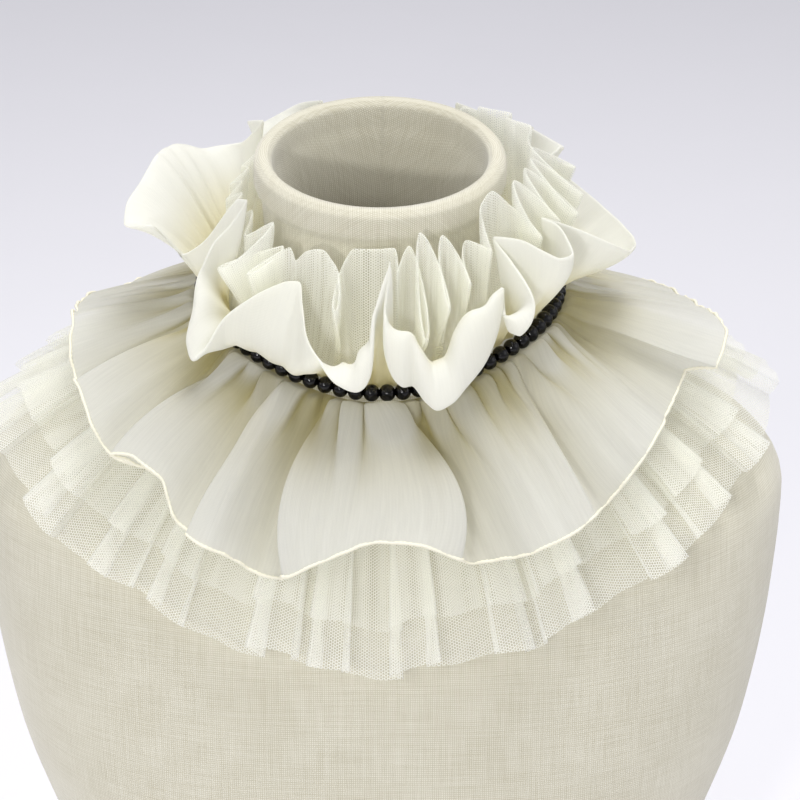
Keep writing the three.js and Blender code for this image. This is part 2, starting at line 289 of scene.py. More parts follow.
# The flounce's ridges and valleys: angle halfway down and at the hem, lift at the hem, length.
FLOUNCE_FOLDS = FoldTable(
    ("mid", "hem", "rise", "reach"),
    (
        (-180, -180, -180, 12, 68), (-173, -172, -173, 6, 71), (-167, -166, -167, 3, 72),
        (-161, -163, -162, 12, 69), (-154, -154, -154, 20, 66), (-147, -144, -145, 12, 70),
        (-140, -141, -140, 3, 74), (-134, -137, -136, 8, 70), (-126, -127, -126, 7, 66),
        (-119, -117, -117, 4, 66), (-112, -113, -112, 2, 66), (-106, -109, -108, 5, 64),
        (-98, -99, -98, 4, 62), (-90, -90, -90, 4, 59.5), (-84, -84, -84, 13, 57.5),
        (-77, -77, -77, 10, 61), (-72, -72, -72, 2, 64.5), (-68, -68, -66, 15, 63),
        (-62, -60, -59, 13, 66.5), (-57, -55, -54, 5, 70), (-49, -48, -47, 1, 64),
        (-46.5, -46.5, -45.5, 7, 64.5), (-44, -50, -50, 16, 70), (-41.5, -46, -46, 17.5, 64.5),
        (-38.5, -41, -41, 14, 64.5), (-36, -36, -36, 5, 75.5), (-34, -30.5, -29.5, 0.5, 77),
        (-32, -28.5, -27.5, 6, 77.5), (-29.5, -32, -32, 15, 78), (-26.5, -28.5, -28.5, 16, 79.5),
        (-22, -25, -25, 10, 78.5), (-17.5, -20.5, -21, 1, 80), (-15.5, -15, -17, 5, 79.5),
        (-13.5, -19, -15, 16, 80), (-10, -13, -11, 20, 74.5), (-6, -5.5, -6, 19, 67),
        (-2.5, 0.5, 0, 20, 62), (0.5, 7, 6, 22, 64), (3, 12.5, 10, 21, 68),
        (4.5, 15.5, 13.5, 16, 72.5), (7, 12, 14.5, 6, 71), (10, 14.5, 17, 1, 72.5),
        (16, 19, 21.5, 4, 75), (23, 25, 26, 13, 78), (31, 31, 31, 18, 78.5),
        (38, 36.5, 35, 18, 77), (43, 39.5, 38, 11, 76), (47, 41, 41, 5, 75),
        (51, 46, 45, 13, 72), (56, 51, 49, 19, 69), (62, 57.5, 56, 15, 66),
        (68, 64, 62, 8, 64.5), (72, 70, 69, 3, 64), (74.5, 73, 72.5, 7, 63),
        (77, 71.5, 72, 16, 72), (82, 79, 78, 18, 72), (90, 90, 90, 8, 69),
        (97, 97, 97, 5, 67), (101, 104, 103, 6, 67), (106, 105, 105, 4, 68),
        (112, 110, 110, 7, 67), (119, 119, 119, 8, 66), (126, 128, 128, 6, 70),
        (133, 132, 133, 4, 74), (139, 137, 137, 11, 70), (147, 147, 147, 20, 66),
        (154, 157, 156, 11, 69), (163, 162, 163, 3, 72), (171, 170, 171, 7, 70),
        (180, 180, 180, 12, 68),
    ),
)  # fmt: skip

# The folded edge of the upper net: it stands up by the neck and leans out into the lobes in between.
NET_LOOPS = FoldTable(
    ("angle", "reach", "height"),
    (
        (-178, -178, 62, 78), (-172, -174, 76, 67), (-166, -166, 63, 78), (-159, -162, 78, 65),
        (-152, -151, 64, 74), (-146, -148, 78, 60), (-139, -138, 63, 68), (-132, -135, 76, 59),
        (-125, -124, 62, 65), (-118, -121, 70, 57), (-112, -110, 60, 62), (-105, -107, 67, 55),
        (-99, -97, 59, 61), (-93, -94, 65, 54), (-88, -86, 58, 60), (-82, -83, 64, 54),
        (-77, -75, 58, 60), (-72, -70, 61, 56), (-67, -65, 58, 60), (-62, -61, 61, 58),
        (-58, -56, 66, 54), (-54, -47.5, 60.5, 62), (-50, -50.5, 84, 46), (-46, -38.5, 62, 54),
        (-42, -43, 78, 45), (-38, -33, 64, 55), (-34, -31.5, 64, 50), (-28, -28, 62, 54),
        (-24, -23.5, 62, 56), (-20, -18.5, 69, 53), (-15, -11.7, 84, 40), (-11, -9, 72, 47),
        (-9, -9.5, 61, 52), (-6.5, -8.5, 57.5, 56), (-1, -1, 57, 56), (4, 4.5, 59, 57), (6, 5.3, 66, 50),
        (8.5, 9.5, 59.5, 58), (12, 13.5, 84, 27), (15, 16.3, 61, 64), (19, 21.5, 80, 38), (23, 24, 62, 62),
        (27, 28.5, 76, 45), (31, 31.5, 67, 54), (34, 33, 63, 58), (38, 39, 72, 55), (43, 44, 61, 71),
        (48, 49, 60, 74), (53, 53, 66, 66), (58, 57, 80, 56), (63, 62, 62, 75), (68, 68, 80, 58),
        (73, 73, 62, 76), (78, 78, 84, 56), (84, 84, 63, 76), (89, 90, 85, 58), (95, 95, 64, 76),
        (100, 104, 86, 62), (106, 110, 67, 72), (112, 114, 70, 78), (118, 122, 65, 79), (124, 129, 72, 78),
        (131, 137, 64, 80), (137, 141, 78, 66), (144, 145, 64, 78), (150, 151, 78, 64), (157, 157, 63, 78),
        (163, 164, 76, 66), (170, 170, 62, 78), (178, 178, 70, 72),
    ),
)  # fmt: skip

# The folded edge of the upper chiffon, tongue by tongue, and what its cloth swings through on the way.
CHIFFON_LOOPS = FoldTable(
    ("angle", "reach", "height", "belly", "belly_height"),
    (
        (-178, -178, 76, 72, 78, 52), (-175, -177, 90, 66, 83, 58), (-170, -170, 102, 60, 88, 66),
        (-165, -163.5, 92, 66, 83, 60), (-158, -158.5, 72, 76, 76, 54), (-153, -155.5, 88, 70, 82, 58),
        (-147, -147, 102, 58, 88, 64), (-141, -139.5, 90, 66, 82, 58), (-135, -135.5, 73, 72, 77, 52),
        (-130, -133, 84, 60, 82, 54), (-124, -126, 94, 58, 84, 58), (-116, -115, 98, 65, 85, 60),
        (-108, -104, 98, 67, 86, 60), (-100, -95, 101, 61, 87, 57), (-94, -88.5, 106.5, 54, 91, 51),
        (-89, -83.5, 107.5, 49, 93, 50), (-85, -79.5, 104, 50.5, 90, 46), (-81, -76, 97, 53, 86, 42),
        (-78.5, -76, 85, 39, 80, 36), (-76, -70.5, 78, 46, 76, 42), (-73.5, -65.5, 69, 61, 71, 48),
        (-71.5, -62.5, 65.5, 67, 68, 50), (-68, -57.5, 64, 68.5, 66, 50), (-66, -59.5, 71, 58, 71, 48),
        (-64, -60.5, 78, 51, 77, 46), (-62, -60, 84, 41.5, 82, 44), (-58, -54, 94, 27, 88, 42),
        (-54, -50, 102, 17.5, 91, 34), (-50, -46.6, 104, 13.2, 94, 22), (-46, -44.8, 101, 17.5, 96, 13),
        (-41, -43.8, 91, 29, 96, 8), (-35, -39.5, 79, 37.5, 94, 8), (-31.5, -32.5, 69, 42.5, 98, 0),
        (-28.5, -28.5, 68, 43, 99, -1), (-25, -23.5, 77, 38, 100, -2),
        (-20, -18.5, 90, 30, 96, 6), (-15.5, -13.5, 98, 22.5, 92, 20), (-11.5, -9, 103, 16, 92, 24),
        (-8, -5, 104, 14, 90, 36), (-4.5, -2, 99, 18, 87, 50), (-1.5, -1.4, 87, 30, 82, 58),
        (1, 0.8, 75, 45, 78, 50), (3.5, 3.7, 68, 55, 75, 46), (6, 1.6, 79, 37, 79, 48),
        (9, 1.4, 90, 27, 82, 56), (11.5, 3, 96, 17.5, 84, 56), (13.5, 5.5, 98, 13.5, 85, 55),
        (15.5, 8, 95.5, 12.5, 85, 52), (17.5, 10.3, 101, 8, 87, 44), (20, 13, 104, 5, 91, 27),
        (22.5, 16.5, 103, 7, 90, 30), (25, 20.4, 100, 11.5, 87, 52), (28, 26, 96, 18.5, 86, 62),
        (31, 31, 91, 26, 85, 62), (35, 37.5, 82, 41, 80, 48), (37, 36, 86, 32, 82, 44),
        (39, 34.6, 92, 27.5, 88, 44), (41, 35.3, 97, 27.5, 92, 44), (43, 38, 98.5, 32, 93, 44),
        (44.5, 40, 97, 38, 92, 44), (46, 41, 90, 45, 88, 44), (48, 41.5, 80, 52, 80, 44),
        (50, 42.3, 68, 58.5, 74, 42), (52.5, 45.3, 79, 59.5, 84, 42), (55, 46.5, 90, 57.5, 94, 42),
        (57.5, 48.4, 97, 55, 100, 42), (60, 51.3, 98.5, 55.5, 101, 44), (62.5, 55, 92, 59.5, 94, 48),
        (65, 60, 82, 61, 84, 50), (67, 62, 75, 61, 76, 50), (70, 64.5, 86, 58, 88, 44),
        (73, 67, 98, 53, 96, 44), (76, 70.5, 104, 48, 99, 40), (80, 77, 107, 42, 101, 34),
        (85, 85, 107.5, 40, 102, 28), (91, 94, 106, 38, 100, 28), (97, 102, 101, 41, 94, 34),
        (102, 108, 95, 46, 87, 42), (107, 112, 86, 54, 80, 48), (111, 113, 78, 62, 78, 50),
        (117, 117, 86, 64, 82, 56), (122, 121, 92, 62, 84, 58), (127, 127.5, 84, 68, 80, 54),
        (130, 130, 77, 72, 78, 52), (135, 132.5, 90, 66, 83, 58), (141, 140, 99, 60, 87, 62),
        (147, 147.5, 90, 66, 82, 58), (153, 152.5, 72, 76, 76, 54), (159, 157, 88, 68, 82, 58),
        (167, 166.5, 102, 58, 88, 64), (173, 175, 92, 66, 83, 58), (178, 178, 76, 72, 78, 52),
    ),
)  # fmt: skip


# Rolled gathers: waves that make their spacing uneven, their mean strength, how pointed they are, and
# the millimetres over which they start. They bend aside on their way down, by so many degrees.
ROLL_WAVES = ((1.6, 5, 1.7), (1.1, 13, 3.4))
ROLL_STRENGTH = 0.62
ROLL_POINT = 0.75
ROLL_START = 5.0
ROLL_BEND = 4.0
ROLL_BENDS = 11


def rolled_gathers(angle: Array, length: Array, count: float, fade: float) -> tuple[Array, Array]:
    """Rolled gathers below a seam: each swells up, overhangs its sides and dies away by itself.

    Args:
        angle: Degrees from the front.
        length: Way down from the seam.
        count: Gathers round the whole neck.
        fade: How far down the longest reach.

    Returns:
        Share of the full height, from 0 to 1, and of the full overhang, from -1 to 1.
    """
    bend = ROLL_BEND * (length / fade) * np.sin(np.radians(ROLL_BENDS * angle + 60))
    turn = np.radians(angle + bend)
    phase = count * turn / 2 + ripple(turn, *ROLL_WAVES)
    number = np.floor(phase / np.pi)
    strong = varied(ROLL_STRENGTH, 7.1 * number + 1)
    reach = fade * varied(ROLL_STRENGTH, 4.7 * number)
    near = strong * np.exp(-((length / reach) ** 2)) * ease(length / ROLL_START + 0.15)
    return near * np.abs(np.sin(phase)) ** ROLL_POINT, -near * np.sin(2 * phase)


def gathers(angle: Array, count: float, phase: float) -> Array:
    """Small uneven gathers, as a thread pulls them up.

    Args:
        angle: Degrees from the front.
        count: Gathers round the whole neck.
        phase: Shifts the pattern from piece to piece.

    Returns:
        From about -1 to 1.
    """
    turn = np.radians(angle)
    wander = ripple(turn, (1.3, 7, phase), (0.9, 17, 2 * phase))
    return varied(0.65, 11 * turn + 3 * phase) * np.sin(count * turn + wander)


# --------------------------------------------------------------------------------------
# Materials
# --------------------------------------------------------------------------------------
class Shader:
    """A material's node tree, built a node at a time."""

    def __init__(self, name: str) -> None:
        """Starts an empty material.

        Args:
            name: Real material and surface making.
        """
        self.material = bpy.data.materials.new(name)
        self.material.use_nodes = True
        self.tree = self.material.node_tree
        self.tree.nodes.clear()

    def add(self, kind: str, inputs: Optional[dict] = None, **settings: object) -> bpy.types.Node:
        """Adds one node.

        Args:
            kind: The node's type without the ShaderNode prefix.
            inputs: Socket name or number to a value, or to the output socket that feeds it.
            settings: The node's own settings.

        Returns:
            The node.
        """
        node = self.tree.nodes.new("ShaderNode" + kind)
        for key, value in settings.items():
            setattr(node, key, value)
        for key, value in (inputs or {}).items():
            if isinstance(value, bpy.types.NodeSocket):
                self.tree.links.new(value, node.inputs[key])
            else:
                node.inputs[key].default_value = value
        return node

    def math(self, operation: str, a: object, b: object = 0.0) -> bpy.types.NodeSocket:
        """Adds a sum.

        Args:
            operation: What to do, such as MULTIPLY.
            a: First value or socket.
            b: Second value or socket.

        Returns:
            The result's socket.
        """
        return self.add("Math", {0: a, 1: b}, operation=operation).outputs[0]

    def blend(self, share: bpy.types.NodeSocket, first: str, second: str) -> bpy.types.NodeSocket:
        """Adds a mix of two colours.

        Args:
            share: How much of the second.
            first: A colour, "#rrggbb".
            second: The other.

        Returns:
            The colour's socket.
        """
        mix = self.add("Mix", {0: share, 6: srgb(first), 7: srgb(second)}, data_type="RGBA")
        return mix.outputs[2]

    def done(self, surface: bpy.types.NodeSocket) -> bpy.types.Material:
        """Ends the tree.

        Args:
            surface: The finished surface.

        Returns:
            The material.
        """
        self.add("OutputMaterial", {"Surface": surface})
        return self.material


@dataclass(frozen=True)
class ChiffonFinish:
    """Crinkled sheer silk-like cloth: light comes through it, and its folds turn cream, partly by that
    light and partly by golden painted shade.

    Attributes:
        name: The material's name.
        face: Colour of the thread in the light.
        depth: Colour of the light that comes through.
        painted_fold_shade: Golden colour painted into the gathers and the valleys of the folds as their
            shade and
        the light bounced between them. The third number of the cloth attribute says how much of it a place
        gets.
        cover: How much of the cloth is thread, where it is seen square on.
        through: Share of the covered part that passes light on.
        crinkle: Height of the crinkle, in millimetres.
        streak: Strength of the fine lines that run down the cloth.
        crinkles: Crinkles in a millimetre.
        threads: Threads that show in a millimetre, across and down.
        streaks: Fine lines in a millimetre.
        drawn: How much longer than wide they are.
    """

    name: str
    face: str = "#f8f8f4"
    depth: str = "#f8f7ea"
    # Golden painted shade for the gathers and valleys.
    painted_fold_shade: str = "#f3e9b0"
    cover: float = 0.9
    through: float = 0.42
    crinkle: float = 0.12
    streak: float = 0.5
    crinkles: float = 0.55
    threads: tuple[float, float] = (0.62, 0.5)
    streaks: float = 0.8
    drawn: float = 20.0

    def build(self) -> bpy.types.Material:
        """Makes the material.

        Returns:
            The material.
        """
        s = Shader(self.name)
        cloth = s.add("Attribute", attribute_name=CLOTH_ATTRIBUTE).outputs["Vector"]
        crinkle = s.add("TexNoise", {"Vector": cloth, "Scale": self.crinkles, "Detail": 3.0,
                                     "Roughness": 0.55})
        across = s.add("TexWave", {"Vector": cloth, "Scale": self.threads[0], "Distortion": 1.2,
                                   "Detail": 1.0, "Detail Scale": 0.4}, bands_direction="X")
        along = s.add("TexWave", {"Vector": cloth, "Scale": self.threads[1], "Distortion": 1.0,
                                  "Detail": 1.0, "Detail Scale": 0.4}, bands_direction="Y")
        threads = s.math("ADD", across.outputs["Fac"], along.outputs["Fac"])
        drawn = s.add("Mapping", {"Vector": cloth, "Scale": (1.0, 1 / self.drawn, 1.0)}).outputs[0]
        streaks = s.add("TexNoise", {"Vector": drawn, "Scale": self.streaks, "Detail": 3.0,
                                     "Roughness": 0.6}).outputs["Fac"]
        relief = s.math("ADD", crinkle.outputs["Fac"], s.math("MULTIPLY", threads, 0.18))
        relief = s.math("ADD", relief, s.math("MULTIPLY", streaks, self.streak))
        bump = s.add("Bump", {"Height": relief, "Strength": 0.35, "Distance": self.crinkle * MM})
        # Share of painted shade, from the third number of the cloth attribute.
        painted_shade_share = s.add("SeparateXYZ", {0: cloth}).outputs[2]
        # Painted shade: the lit colour and the light that comes through both turn golden with that share.
        tone = s.blend(painted_shade_share, self.face, self.painted_fold_shade)
        lit = s.add("BsdfPrincipled", {"Base Color": tone, "Roughness": 0.72,
                                       "Specular IOR Level": 0.25, "Sheen Weight": 0.25,
                                       "Sheen Roughness": 0.45, "Normal": bump.outputs[0]})
        glow = s.blend(painted_shade_share, self.depth, self.painted_fold_shade)
        passed = s.add("BsdfTranslucent", {"Color": glow, "Normal": bump.outputs[0]})
        thread = s.add("MixShader", {0: self.through, 1: lit.outputs[0], 2: passed.outputs[0]})
        if self.cover >= 1:
            return s.done(thread.outputs[0])
        clear = s.add("BsdfTransparent")
        weave = s.math("ADD", self.cover - 0.1, s.math("MULTIPLY", threads, 0.04))
        weave = s.math("ADD", weave, s.math("MULTIPLY", streaks, 0.14 * self.streak))
        graze = s.add("LayerWeight", {"Blend": 0.35}).outputs["Facing"]
        cover = s.math("ADD", weave, s.math("MULTIPLY", graze, 1.0 - self.cover))
        sheer = s.add("MixShader", {0: cover, 1: clear.outputs[0], 2: thread.outputs[0]})
        return s.done(sheer.outputs[0])


@dataclass(frozen=True)
class NetFinish:
    """Even machine-made net: six-sided meshes of fine thread with air between them.

    Attributes:
        name: The material's name.
        thread: Colour of the thread.
        cell: Distance between the middles of two meshes, in millimetres.
        fill: How much of the net is thread, from 0 to 1.
        through: Share of the thread's light that comes from behind.
    """

    name: str
    cell: float
    fill: float
    thread: str = "#fffff8"
    through: float = 0.55

    def build(self) -> bpy.types.Material:
        """Makes the material.

        Returns:
            The material.
        """
        s = Shader(self.name)
        cloth = s.add("Attribute", attribute_name=CLOTH_ATTRIBUTE).outputs["Vector"]
        split = s.add("SeparateXYZ", {0: cloth}).outputs
        waves = 2 * math.pi / (self.cell * math.sqrt(3) / 2)
        total: object = 0.0
        for turn in (0, 60, 120):
            across = s.math("MULTIPLY", split[0], waves * math.cos(math.radians(turn)))
            down = s.math("MULTIPLY", split[1], waves * math.sin(math.radians(turn)))
            total = s.math("ADD", total, s.math("COSINE", s.math("ADD", across, down)))
        # The sum is 3 in the middle of a mesh and -1.5 at its corners, so thread is where it is low.
        edge = -1.5 + 2.6 * self.fill
        mask = s.add("MapRange", {0: total, 1: edge + 0.5, 2: edge - 0.5, 3: 0.0, 4: 1.0}).outputs[0]
        lit = s.add("BsdfPrincipled", {"Base Color": srgb(self.thread), "Roughness": 0.6,
                                       "Specular IOR Level": 0.4, "Sheen Weight": 0.3})
        passed = s.add("BsdfTranslucent", {"Color": srgb(self.thread)})
        thread = s.add("MixShader", {0: self.through, 1: lit.outputs[0], 2: passed.outputs[0]})
        clear = s.add("BsdfTransparent")
        net = s.add("MixShader", {0: mask, 1: clear.outputs[0], 2: thread.outputs[0]})
        return s.done(net.outputs[0])


@dataclass(frozen=True)
class LinenFinish:
    """Natural linen: an even plain weave with thicker threads here and there.

    Attributes:
        name: The material's name.
        light: Colour of the threads on top.
        dark: Colour between them.
        thread: Distance between two threads, in millimetres.
        slubs: Thicker threads in a millimetre.
        drawn: How much longer than wide they are.
        clouds: Faint patches in a millimetre.
    """

    name: str = "linen plain woven unbleached"
    light: str = "#e4e1d1"
    dark: str = "#bab49c"
    thread: float = 0.9
    slubs: float = 0.9
    drawn: float = 20.0
    clouds: float = 0.03

    def build(self) -> bpy.types.Material:
        """Makes the material.

        Returns:
            The material.
        """
        s = Shader(self.name)
        place = s.add("Attribute", attribute_name=CLOTH_ATTRIBUTE).outputs["Vector"]
        pitch = 0.314 / self.thread
        woven = []
        for direction in ("X", "Y"):
            wave = s.add("TexWave", {"Vector": place, "Scale": pitch, "Distortion": 2.2, "Detail": 2.0,
                                     "Detail Scale": 0.8}, bands_direction=direction)
            woven.append(wave.outputs["Fac"])
        cross = s.math("MULTIPLY", woven[0], woven[1])
        slubs = []
        for scale in ((1 / self.drawn, 1.0, 1.0), (1.0, 1 / self.drawn, 1.0)):
            stretched = s.add("Mapping", {"Vector": place, "Scale": scale}).outputs[0]
            noise = s.add("TexNoise", {"Vector": stretched, "Scale": self.slubs, "Detail": 2.0})
            slubs.append(noise.outputs["Fac"])
        slub = s.math("MULTIPLY", s.math("ADD", slubs[0], slubs[1]), 0.5)
        cloud = s.add("TexNoise", {"Vector": place, "Scale": self.clouds, "Detail": 4.0}).outputs["Fac"]
        tone = s.math("ADD", s.math("MULTIPLY", cross, 0.45), s.math("MULTIPLY", slub, 0.5))
        tone = s.math("ADD", tone, s.math("MULTIPLY", cloud, 0.2))
        ramp = s.add("ValToRGB", {0: tone})
        ramp.color_ramp.elements[0].position = 0.25
        ramp.color_ramp.elements[0].color = srgb(self.dark)
        ramp.color_ramp.elements[1].position = 0.75
        ramp.color_ramp.elements[1].color = srgb(self.light)
        relief = s.math("ADD", cross, slub)
        bump = s.add("Bump", {"Height": relief, "Strength": 0.5, "Distance": 0.15 * MM})
        lit = s.add("BsdfPrincipled", {"Base Color": ramp.outputs[0], "Roughness": 0.9,
                                       "Specular IOR Level": 0.15, "Sheen Weight": 0.35,
                                       "Sheen Roughness": 0.6, "Normal": bump.outputs[0]})
        return s.done(lit.outputs[0])


@dataclass(frozen=True)
class PlainFinish:
    """A smooth surface with faint cloudy wear in its gloss.

    Attributes:
        name: The material's name.
        colour: Main colour.
        rough: Mean roughness.
        metal: 1 for metal.
        coat: Clear lacquer on top.
        grain: Size of the wear marks, in millimetres.
        shine: Strength of the plain reflection.
    """

    name: str
    colour: str
    rough: float
    metal: float = 0.0
    coat: float = 0.0
    grain: float = 2.0
    shine: float = 0.5

    def build(self) -> bpy.types.Material:
        """Makes the material.

        Returns:
            The material.
        """
        s = Shader(self.name)
        place = s.add("TexCoord").outputs["Object"]
        wear = s.add("TexNoise", {"Vector": place, "Scale": 1 / (self.grain * MM), "Detail": 3.0})
        rough = s.add("MapRange", {0: wear.outputs["Fac"], 3: self.rough * 0.8, 4: self.rough * 1.25})
        bump = s.add("Bump", {"Height": wear.outputs["Fac"], "Strength": 0.15, "Distance": 0.05 * MM})
        lit = s.add("BsdfPrincipled", {"Base Color": srgb(self.colour), "Roughness": rough.outputs[0],
                                       "Metallic": self.metal, "Coat Weight": self.coat,
                                       "Specular IOR Level": self.shine,
                                       "Coat Roughness": 0.05, "Normal": bump.outputs[0]})
        return s.done(lit.outputs[0])


class Finish(Enum):
    """The finishes of the object and its floor."""

    # Creamy, nearly opaque cloth that glows where light comes through a fold, with golden painted shade by
    # its seam.
    CHIFFON_DOUBLE = ChiffonFinish("chiffon ivory doubled over", cover=0.86, through=0.42)
    # The same cloth once: sheer and cool over what lies below, with golden painted shade in its gathers
    # and the valleys of its folds.
    CHIFFON_SINGLE = ChiffonFinish("chiffon ivory single layer", face="#dededa", depth="#e9e8dc",
                                   painted_fold_shade="#b5aa72", cover=0.74, through=0.4, streak=1.3)
    # Folded over and over, so nothing shows through.
    CHIFFON_BAND = ChiffonFinish("chiffon ivory folded band", cover=1.0, through=0.1)
    # A pale veil of small holes, nearly white where folds lie behind each other.
    NET_UPPER = NetFinish("net ivory fine", cell=1.1, fill=0.6)
    # The same with more air, so that each pleat's layers can be counted.
    NET_LOWER = NetFinish("net ivory stiffened", cell=1.2, fill=0.44)
    # A dull cream line that draws the flounce's edge.
    SERGING = PlainFinish("polyester thread overlocked", "#ece8d4", 0.75, grain=0.8)
    # Crossed threads and slubs in warm grey.
    LINEN = LinenFinish()
    # Deep black with one small sharp light on each bead.
    BEAD = PlainFinish("glass beads black polished", "#020101", 0.08, grain=4.0, shine=0.38)
    # A dull dark line between the beads.
    THREAD = PlainFinish("cotton thread black waxed", "#141314", 0.7, grain=0.6)
    # Bright soft-edged reflections.
    WIRE = PlainFinish("steel wire nickel plated", "#b9b9ba", 0.3, metal=1.0)
    # Warm tan with a faint gloss.
    BOARD = PlainFinish("beech board waxed", "#b48f63", 0.5, coat=0.1, grain=9.0)
    # Even and pale, without a gloss.
    FLOOR = PlainFinish("studio paper pale", "#f1f0f4", 0.9, grain=60.0)


FINISHES: dict[Finish, bpy.types.Material] = {}


def finish(which: Finish) -> bpy.types.Material:
    """The one material of a finish.

    Args:
        which: The finish.

    Returns:
        Its material, made on first use.
    """
    if which not in FINISHES:
        FINISHES[which] = which.value.build()
    return FINISHES[which]


# --------------------------------------------------------------------------------------
# Meshes
# --------------------------------------------------------------------------------------
def place_mesh(name: str, bm: bmesh.types.BMesh, which: Finish) -> bpy.types.Object:
    """Puts a finished bmesh into the scene.

    Args:
        name: The piece's name.
        bm: The mesh, in metres; it is freed.
        which: Its finish.

    Returns:
        The piece.
    """
    mesh = bpy.data.meshes.new(name)
    bm.to_mesh(mesh)
    bm.free()
    mesh.polygons.foreach_set("use_smooth", [True] * len(mesh.polygons))
    mesh.materials.append(finish(which))
    piece = bpy.data.objects.new(name, mesh)
    bpy.context.scene.collection.objects.link(piece)
    return piece


def grid_normals(points: Array) -> Array:
    """Unit normals of a grid of points.

    Args:
        points: Columns by rows by 3.

    Returns:
        A unit vector at each point.
    """
    across = np.gradient(points, axis=0)
    down = np.gradient(points, axis=1)
    normal = np.cross(across, down)
    size = np.linalg.norm(normal, axis=-1, keepdims=True)
    return normal / np.maximum(size, 1e-9)


def run_lengths(points: Array, axis: int) -> Array:
    """Way along a grid from its first line.

    Args:
        points: Columns by rows by 3.
        axis: 0 to go across the columns, 1 to go down the rows.

    Returns:
        Columns by rows.
    """
    steps = np.linalg.norm(np.diff(points, axis=axis), axis=-1)
    total = np.cumsum(steps, axis=axis)
    start = np.zeros_like(np.take(total, [0], axis=axis))
    return np.concatenate([start, total], axis=axis)


def grid_piece(
    name: str, points: Array, cloth: Array, which: Finish, close: bool = False
) -> bpy.types.Object:
    """A piece from a grid that is bent to shape.

    Args:
        name: The piece's name.
        points: Columns by rows by 3, in millimetres.
        cloth: Columns by rows by 3, where each point lies on the flat cloth, in millimetres. On the
            collar's
        cloth layers the third number is the share of painted shade instead, which only the chiffon shows.
        which: Its finish.
        close: Join lines that meet, and fill what stays open at a tube's ends.

    Returns:
        The piece.
    """
    columns, rows = points.shape[:2]
    bm = bmesh.new()
    bmesh.ops.create_grid(bm, x_segments=columns - 1, y_segments=rows - 1, size=1.0)
    layer = bm.verts.layers.float_vector.new(CLOTH_ATTRIBUTE)
    for vert in bm.verts:
        i = round((vert.co.x + 1) / 2 * (columns - 1))
        j = round((vert.co.y + 1) / 2 * (rows - 1))
        vert.co = points[i, j] * MM
        vert[layer] = cloth[i, j]
    if close:
        bmesh.ops.remove_doubles(bm, verts=bm.verts, dist=WELD)
        bmesh.ops.holes_fill(bm, edges=bm.edges)
        bmesh.ops.recalc_face_normals(bm, faces=bm.faces)
    return place_mesh(name, bm, which)


@dataclass(frozen=True)
class Patch:
    """How finely a cloth piece is meshed, and where it starts and ends.

    Attributes:
        columns: Steps round the neck.
        rows: Steps from the seam to the edge.
    """

    columns: int
    rows: int

    def angles(self) -> Array:
        """Angles of the columns.

        Returns:
            Columns by 1.
        """
        return np.linspace(-OPENING_ANGLE, OPENING_ANGLE, self.columns + 1)[:, None]

    def shares(self) -> Array:
        """Even shares of the way to the edge.

        Returns:
            1 by rows.
        """
        return np.linspace(0.0, 1.0, self.rows + 1)[None, :]


def flat_cloth(points: Array) -> Array:
    """Where each point of a gathered strip lies when the strip is laid flat.

    Args:
        points: Columns by rows by 3, rows running from the seam to the edge.

    Returns:
        Columns by rows by 3: along the strip, down the strip, nothing.
    """
    along = run_lengths(points, 0)[:, -1:]
    down = run_lengths(points, 1)
    return np.stack([along + 0 * down, down, 0 * down], axis=-1)


def settle(piece: bpy.types.Object, slot: str, *replaced: str) -> bpy.types.Object:
    """Hangs a finished piece under the root body, hides the solids that it replaces, and logs it.

    Args:
        piece: The piece.
        slot: Not used.
        replaced: Names of the solids that it replaces.

    Returns:
        The piece.
    """
    if replaced:
        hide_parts(*replaced)
    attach(piece, ROOT_BODY)
    area = sum(face.area for face in piece.data.polygons)
    LOG.info("%s: %d faces, %.4f square metres", piece.name, len(piece.data.polygons), area)
    return piece


# --------------------------------------------------------------------------------------
# Lower layers
# --------------------------------------------------------------------------------------
@dataclass(frozen=True)
class Pleats:
    """Narrow flat pleats of stiff net, uneven in place and height.

    Attributes:
        count: Pleats round the neck.
        rise: Their mean height at the hem.
        spread: How far the height strays from it.
        half_width: Half their mean width, in degrees.
        width_spread: How far that strays.
        wander: How far their middles stray, in degrees.
        profile: Across half a pleat: share of its cloth, share of its width, share of its height.
    """

    count: int = 26
    rise: float = 9.0
    spread: float = 4.0
    half_width: float = 5.6
    width_spread: float = 1.2
    wander: float = 3.0
    profile: tuple[Columns, ...] = (
        (0, 0, 0.94), (0.26, 0.4, 1), (0.46, 0.74, 0.9), (0.6, 0.54, 0.45), (0.74, 0.3, 0.1), (1, 1, 0),
    )  # fmt: skip

    def centre(self, k: int) -> float:
        """Angle of a pleat's middle.

        Args:
            k: The pleat's number.

        Returns:
            Degrees from the front.
        """
        return -180 + 360 * (k + 0.5) / self.count + self.wander * math.sin(2.4 * k)

    def read(self, root: Array) -> tuple[Array, Array]:
        """Lift and sideways shift at the hem.

        Args:
            root: Degrees from the front, at the seam.

        Returns:
            Lift in millimetres, shift in degrees.
        """
        cloth, width, height = (np.array([row[k] for row in self.profile]) for k in range(3))
        lift, shift = np.zeros_like(root), np.zeros_like(root)
        for k in range(self.count):
            wide = self.half_width + self.width_spread * math.sin(3.1 * k)
            high = self.rise + self.spread * math.sin(1.7 * k + 1)
            off = (root - self.centre(k)) / wide
            within = np.abs(off) < 1
            side = np.interp(np.abs(off), cloth, width) * np.sign(off)
            lift = np.where(within, high * np.interp(np.abs(off), cloth, height), lift)
            shift = np.where(within, (side - off) * wide, shift)
        return lift, shift


PLEATS = Pleats()
LAYER_PITCH = 2.1
SHORT_PLEAT_SHARE = 0.25
CHIFFON_LIFT = 18.0
FOLD_ONSET = 0.62
